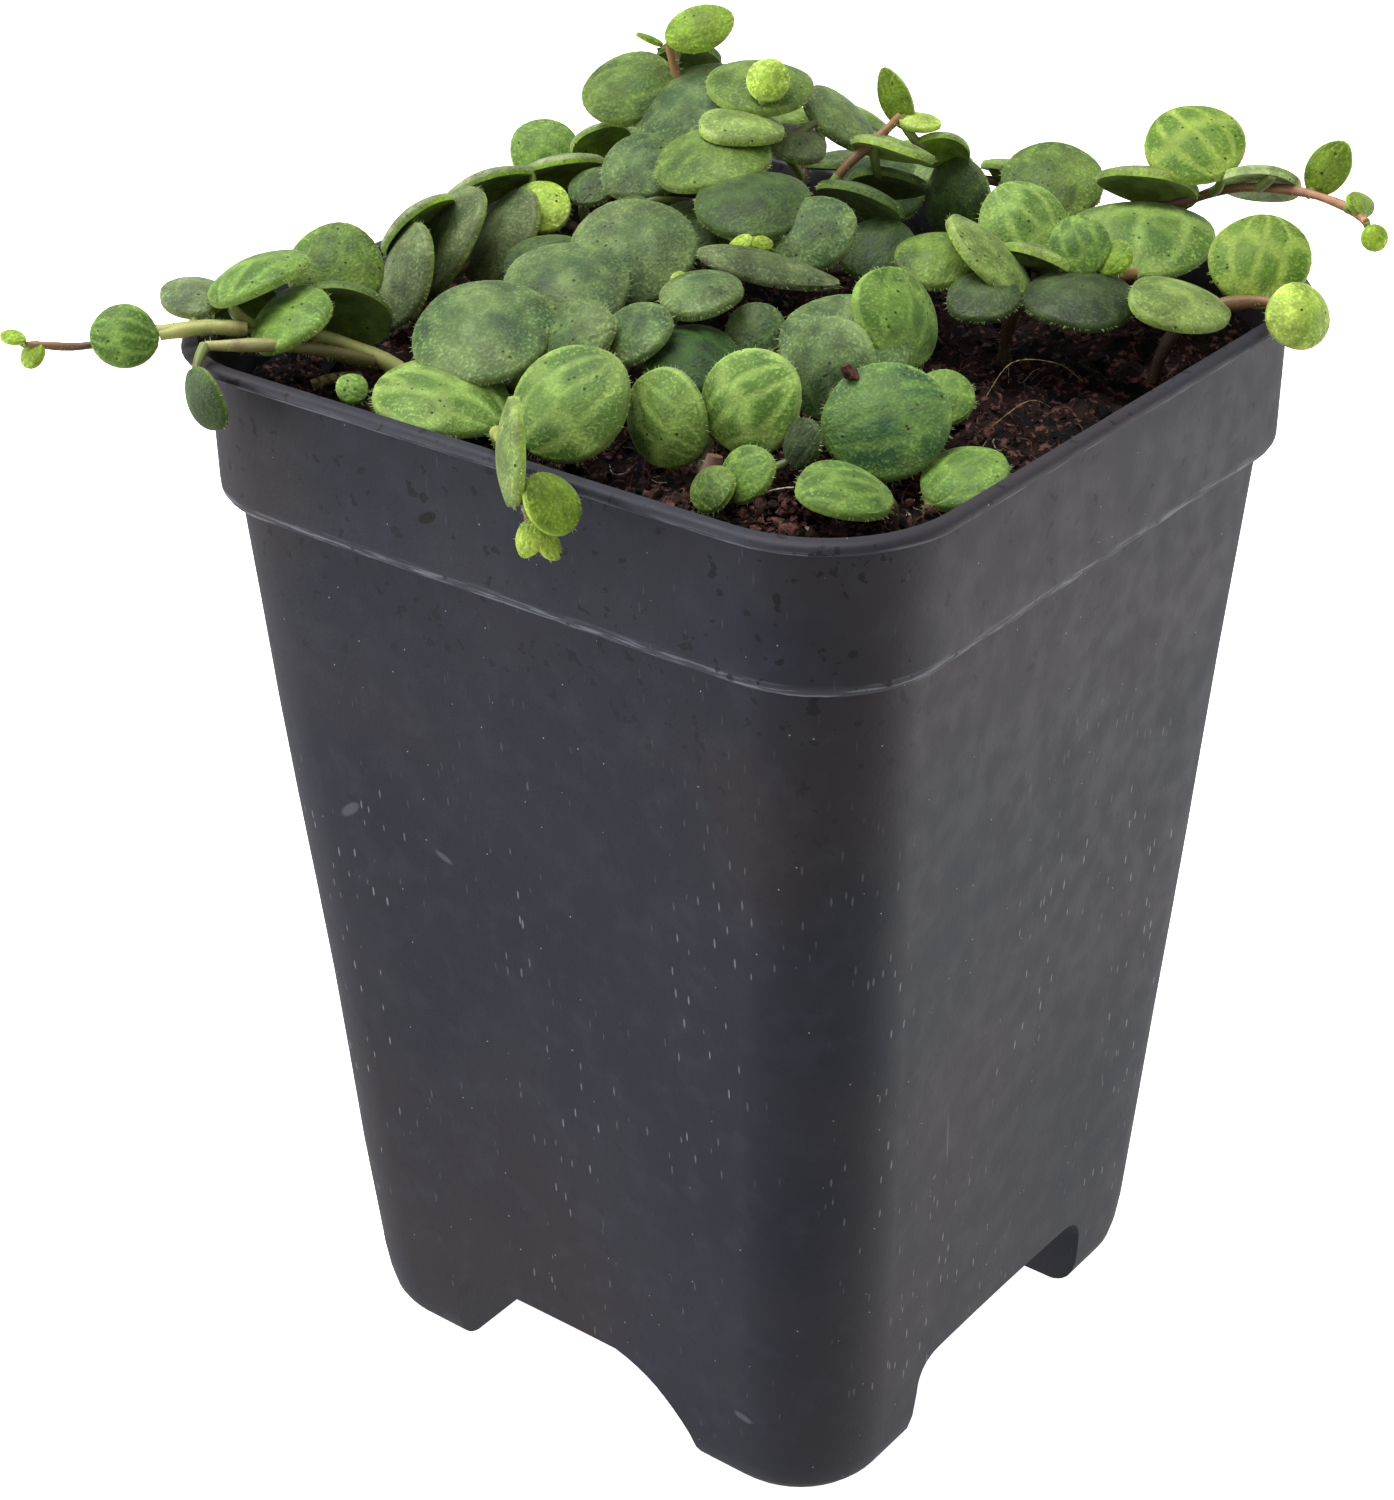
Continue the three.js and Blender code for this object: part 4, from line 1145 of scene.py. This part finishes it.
def woody(bm, patch, radius, tone, points, rng):
    """Grows one stem with swollen joints and short hairs."""
    foot, tip = (linear(*each) for each in STEM_TONES[tone])
    sizes = []
    for i in range(len(points)):
        part = i / (len(points) - 1)
        swell = 1 + 0.12 * math.sin(i * 0.9) + rng.uniform(-0.04, 0.04)
        sizes.append(radius * swell * (1 - 0.25 * part ** 3))
    for i, ring in enumerate(grow(bm, points, sizes, 12)):
        part = i / (len(points) - 1)
        colour = [a + (b - a) * max(part - 0.3, 0) / 0.7 for a, b in zip(foot, tip)]
        paint(ring, patch, colour, STEM_FINISH)
    length = sum((b - a).length for a, b in zip(points, points[1:]))
    for _ in range(int(STEM_HAIRS * length)):
        i = rng.randrange(1, len(points))
        heading = (points[i] - points[i - 1]).normalized()
        side = heading.orthogonal()
        side.rotate(Matrix.Rotation(rng.uniform(0, 6.3), 3, heading))
        base = points[i - 1].lerp(points[i], rng.random()) + side.normalized() * radius * 0.9
        outward = (side.normalized() + heading * rng.uniform(-0.3, 0.5)).normalized()
        fringe(bm, patch, base, outward, 0.3, 0.022)


velvet, tree, shader = finish_of("velvety leaf")
place = object_place(tree)
own = known(tree, "place", 1)
x = part_of(tree, own, 0)
y = part_of(tree, own, 1)
side = part_of(tree, own, 2)
tiles = known(tree, "patch")
trait = known(tree, "trait", 1)
seed = part_of(tree, trait, 0)
net = known(tree, "vein")
strength = part_of(tree, trait, 1)
below = known(tree, "under")
# The veins run from the stalk to the tip and between them, and leave soft darker tiles like a
# turtle's. Each leaf takes its own part of the pattern.
x_squared = times(tree, x, x)
breadth = maths(tree, "SQRT", maths(tree, "MAXIMUM", maths(tree, "SUBTRACT", 1.08, x_squared), 0.1))
across = maths(tree, "DIVIDE", y, breadth)
jump = maths(tree, "FLOOR", times(tree, seed, 50.0))
chart_x = maths(tree, "MULTIPLY_ADD", jump, 1.37, times(tree, x, 0.95))
chart_y = maths(tree, "ADD", maths(tree, "MULTIPLY_ADD", across, 2.05, 0.68), jump)
chart = node(tree, "ShaderNodeCombineXYZ", None, {0: chart_x, 1: chart_y, 2: 0.0})
warp = node(tree, "ShaderNodeTexNoise", None, {"Vector": chart, "Scale": 2.6, "Detail": 3.0}, 1)
bent = {0: warp, 1: (0.22, 0.22, 0), 2: chart}
warped = node(tree, "ShaderNodeVectorMath", {"operation": "MULTIPLY_ADD"}, bent)
flat_cells = {"voronoi_dimensions": "2D", "feature": "DISTANCE_TO_EDGE"}
inputs = {"Vector": warped, "Scale": 1.0, "Randomness": 0.5}
cells = node(tree, "ShaderNodeTexVoronoi", flat_cells, inputs)
tile = fade(tree, cells, 0.02, 0.3)
blotch = grain(tree, place, 260, 3)
aside = maths(tree, "ABSOLUTE", y)
midrib = times(tree, fade(tree, aside, 0.02, 0.16, 0.7, 0), fade(tree, x, -0.9, 0.8, 1, 0.1))
veins = times(tree, maths(tree, "MAXIMUM", maths(tree, "SUBTRACT", 1.0, tile), midrib), strength)
weakness = maths(tree, "SUBTRACT", 1.0, times(tree, strength, 0.7))
clouds = times(tree, fade(tree, blotch, 0.4, 0.62), weakness)
colour = mix(tree, maths(tree, "MAXIMUM", veins, clouds), tiles, net)
# Short hairs make the upper side look dusty, most of all toward the rim. A thin pale line round the rim
# is partly its hairs and partly a painted sheen.
out = maths(tree, "SQRT", maths(tree, "ADD", x_squared, times(tree, y, y)))
# The pale rim line: partly the rim's hairs, partly a painted sheen along the blade's edge.
rim = times(tree, fade(tree, out, 0.94, 1.0), 0.3)
stubble = grain(tree, place, 4300, 2)
dust = times(tree, fade(tree, stubble, 0.52, 0.7), fade(tree, out, 0.2, 1.0, 0.08, 0.34))
dusted = mix(tree, 1.0, net, (2.1, 1.85, 2.2, 1), "MULTIPLY")
colour = mix(tree, maths(tree, "MAXIMUM", rim, dust), colour, dusted)
under = mix(tree, fade(tree, blotch, 0.35, 0.7, 0, 0.45), below, tiles)
colour = mix(tree, fade(tree, side, -0.3, 0.3), under, colour)
depth = fade(tree, grain(tree, place, 640, 3, at=(0.1, 0, 0.2)), 0.3, 0.7, 0.66, 1.26)
fine = fade(tree, stubble, 0.3, 0.7, 0.84, 1.14)
mottled = maths(tree, "MULTIPLY_ADD", strength, -0.7, 1.2)
colour = mix(tree, mottled, colour, times(tree, depth, fine), "MULTIPLY")
few = fade(tree, grain(tree, place, 260, 1, at=(0.2, 0.2, 0.4)), 0.5, 0.58)
speck = times(tree, fade(tree, dots(tree, place, 1300.0), 0.12, 0.18, 0.9, 0), few)
colour = mix(tree, speck, colour, linear(26, 24, 14))
plug(tree, shader, {
    "Base Color": colour,
    "Roughness": fade(tree, tile, 0, 1, 0.62, 0.52),
    "Normal": bump(tree, tile, 0.00003, bump(tree, stubble, 0.00008)),
    "Specular IOR Level": 0.25,
    "Sheen Weight": 0.12,
    "Sheen Roughness": 0.4,
    "Sheen Tint": linear(220, 232, 190),
    "Subsurface Weight": 0.15,
    "Subsurface Radius": (0.35, 0.8, 0.12),
    "Subsurface Scale": 0.0012,
})

wood, tree, shader = finish_of("green and woody stem")
place = object_place(tree)
tinted = known(tree, "patch")
streak = grain(tree, place, 900, 4)
colour = mix(tree, fade(tree, streak, 0.45, 0.75, 0, 0.5), tinted, linear(92, 60, 40))
plug(tree, shader, {
    "Base Color": colour,
    "Roughness": 0.5,
    "Normal": bump(tree, streak, 0.0001),
    "Subsurface Weight": 0.1,
    "Subsurface Scale": 0.0005,
})

hair, tree, shader = finish_of("pale leaf hair")
place = object_place(tree)
colour = mix(tree, grain(tree, place, 1200, 1), linear(140, 164, 92), linear(186, 202, 138))
plug(tree, shader, {"Base Color": colour, "Roughness": 0.7})


def leaf_layers(bm):
    """What each vertex knows: its place on its blade, its leaf's traits and its leaf's three colours."""
    names = ("place", "trait", "patch", "vein", "under")
    return [bm.verts.layers.float_color.new(each) for each in names]


def creep(path):
    """A stem's smooth run through its places."""
    return ride_along([spot(*each) for each in path], STEM_STEPS)


for name, row in GROWTH.items():
    rng = random.Random(name)
    whole = bmesh.new()
    leaf_layers(whole)
    curves = [creep(path) for _, _, path in row["stems"]]
    for radius, tone, path in row["stems"] + row.get("stubs", []):
        bm = bmesh.new()
        woody(bm, leaf_layers(bm)[2], radius, tone, creep(path), rng)
        gather(whole, bm)
    for each in row["leaves"]:
        bm = bmesh.new()
        leaf(bm, leaf_layers(bm), each, curves, rng)
        gather(whole, bm)
    face_out(whole)
    plant = stand(whole, name + "_growth")
    smooth(plant, 60)
    for finish in (velvet, wood, hair):
        plant.data.materials.append(finish)
    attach(plant, "root")
    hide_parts(name)


# The studio: a white floor that gives the camera a plain white ground and throws no light on the
# plant, soft light from all round, a broad soft lamp overhead, a weak one low on the right and one
# on the left, and the camera where the photograph was taken from.
FLOOR_HALF = 40
LOOKED_AT = Vector((0, 0, 0.07))
bm = bmesh.new()
bmesh.ops.create_grid(bm, x_segments=1, y_segments=1, size=FLOOR_HALF)
floor = stand(bm, "floor", 1)
paper, tree, shader = finish_of("white paper")
plug(tree, shader, {
    "Base Color": linear(240, 240, 240),
    "Roughness": 0.9,
    "Emission Color": (1, 1, 1, 1),
    "Emission Strength": 1.0,
})
floor.data.materials.append(paper)
floor.visible_diffuse = False
floor.visible_glossy = False
floor.visible_transmission = False
floor.visible_shadow = False

scene = bpy.context.scene
scene.view_settings.view_transform = "Standard"
world = bpy.data.worlds.new("studio")
world.use_nodes = True
world.node_tree.nodes["Background"].inputs[0].default_value = (1, 1, 1, 1)
world.node_tree.nodes["Background"].inputs[1].default_value = 0.7
scene.world = world


def soft_light(name, at, size, power):
    """A square light that looks at the plant."""
    lamp = bpy.data.lights.new(name, "AREA")
    lamp.size = size
    lamp.energy = power
    light = bpy.data.objects.new(name, lamp)
    light.location = at
    light.rotation_euler = (LOOKED_AT - Vector(at)).to_track_quat("-Z", "Y").to_euler()
    scene.collection.objects.link(light)


soft_light("overhead", (-0.25, -0.1, 0.95), 0.7, 12)
soft_light("low_right", (0.65, 0.6, -0.15), 0.8, 4.8)
soft_light("left", (-0.7, -0.6, 0.1), 0.6, 7.4)

lens = bpy.data.cameras.new("camera")
lens.lens = 74.6
lens.sensor_width = 36
lens.clip_start = 0.01
camera = bpy.data.objects.new("camera", lens)
right = Vector((0.79173, 0.61079, -0.00964))
top = Vector((-0.28706, 0.38593, 0.87673))
back = Vector((0.53922, -0.69137, 0.48088))
turn = Matrix((right, top, back)).transposed().to_4x4()
camera.matrix_world = Matrix.Translation((0.125604, -0.168416, 0.163823)) @ turn
scene.collection.objects.link(camera)
scene.camera = camera
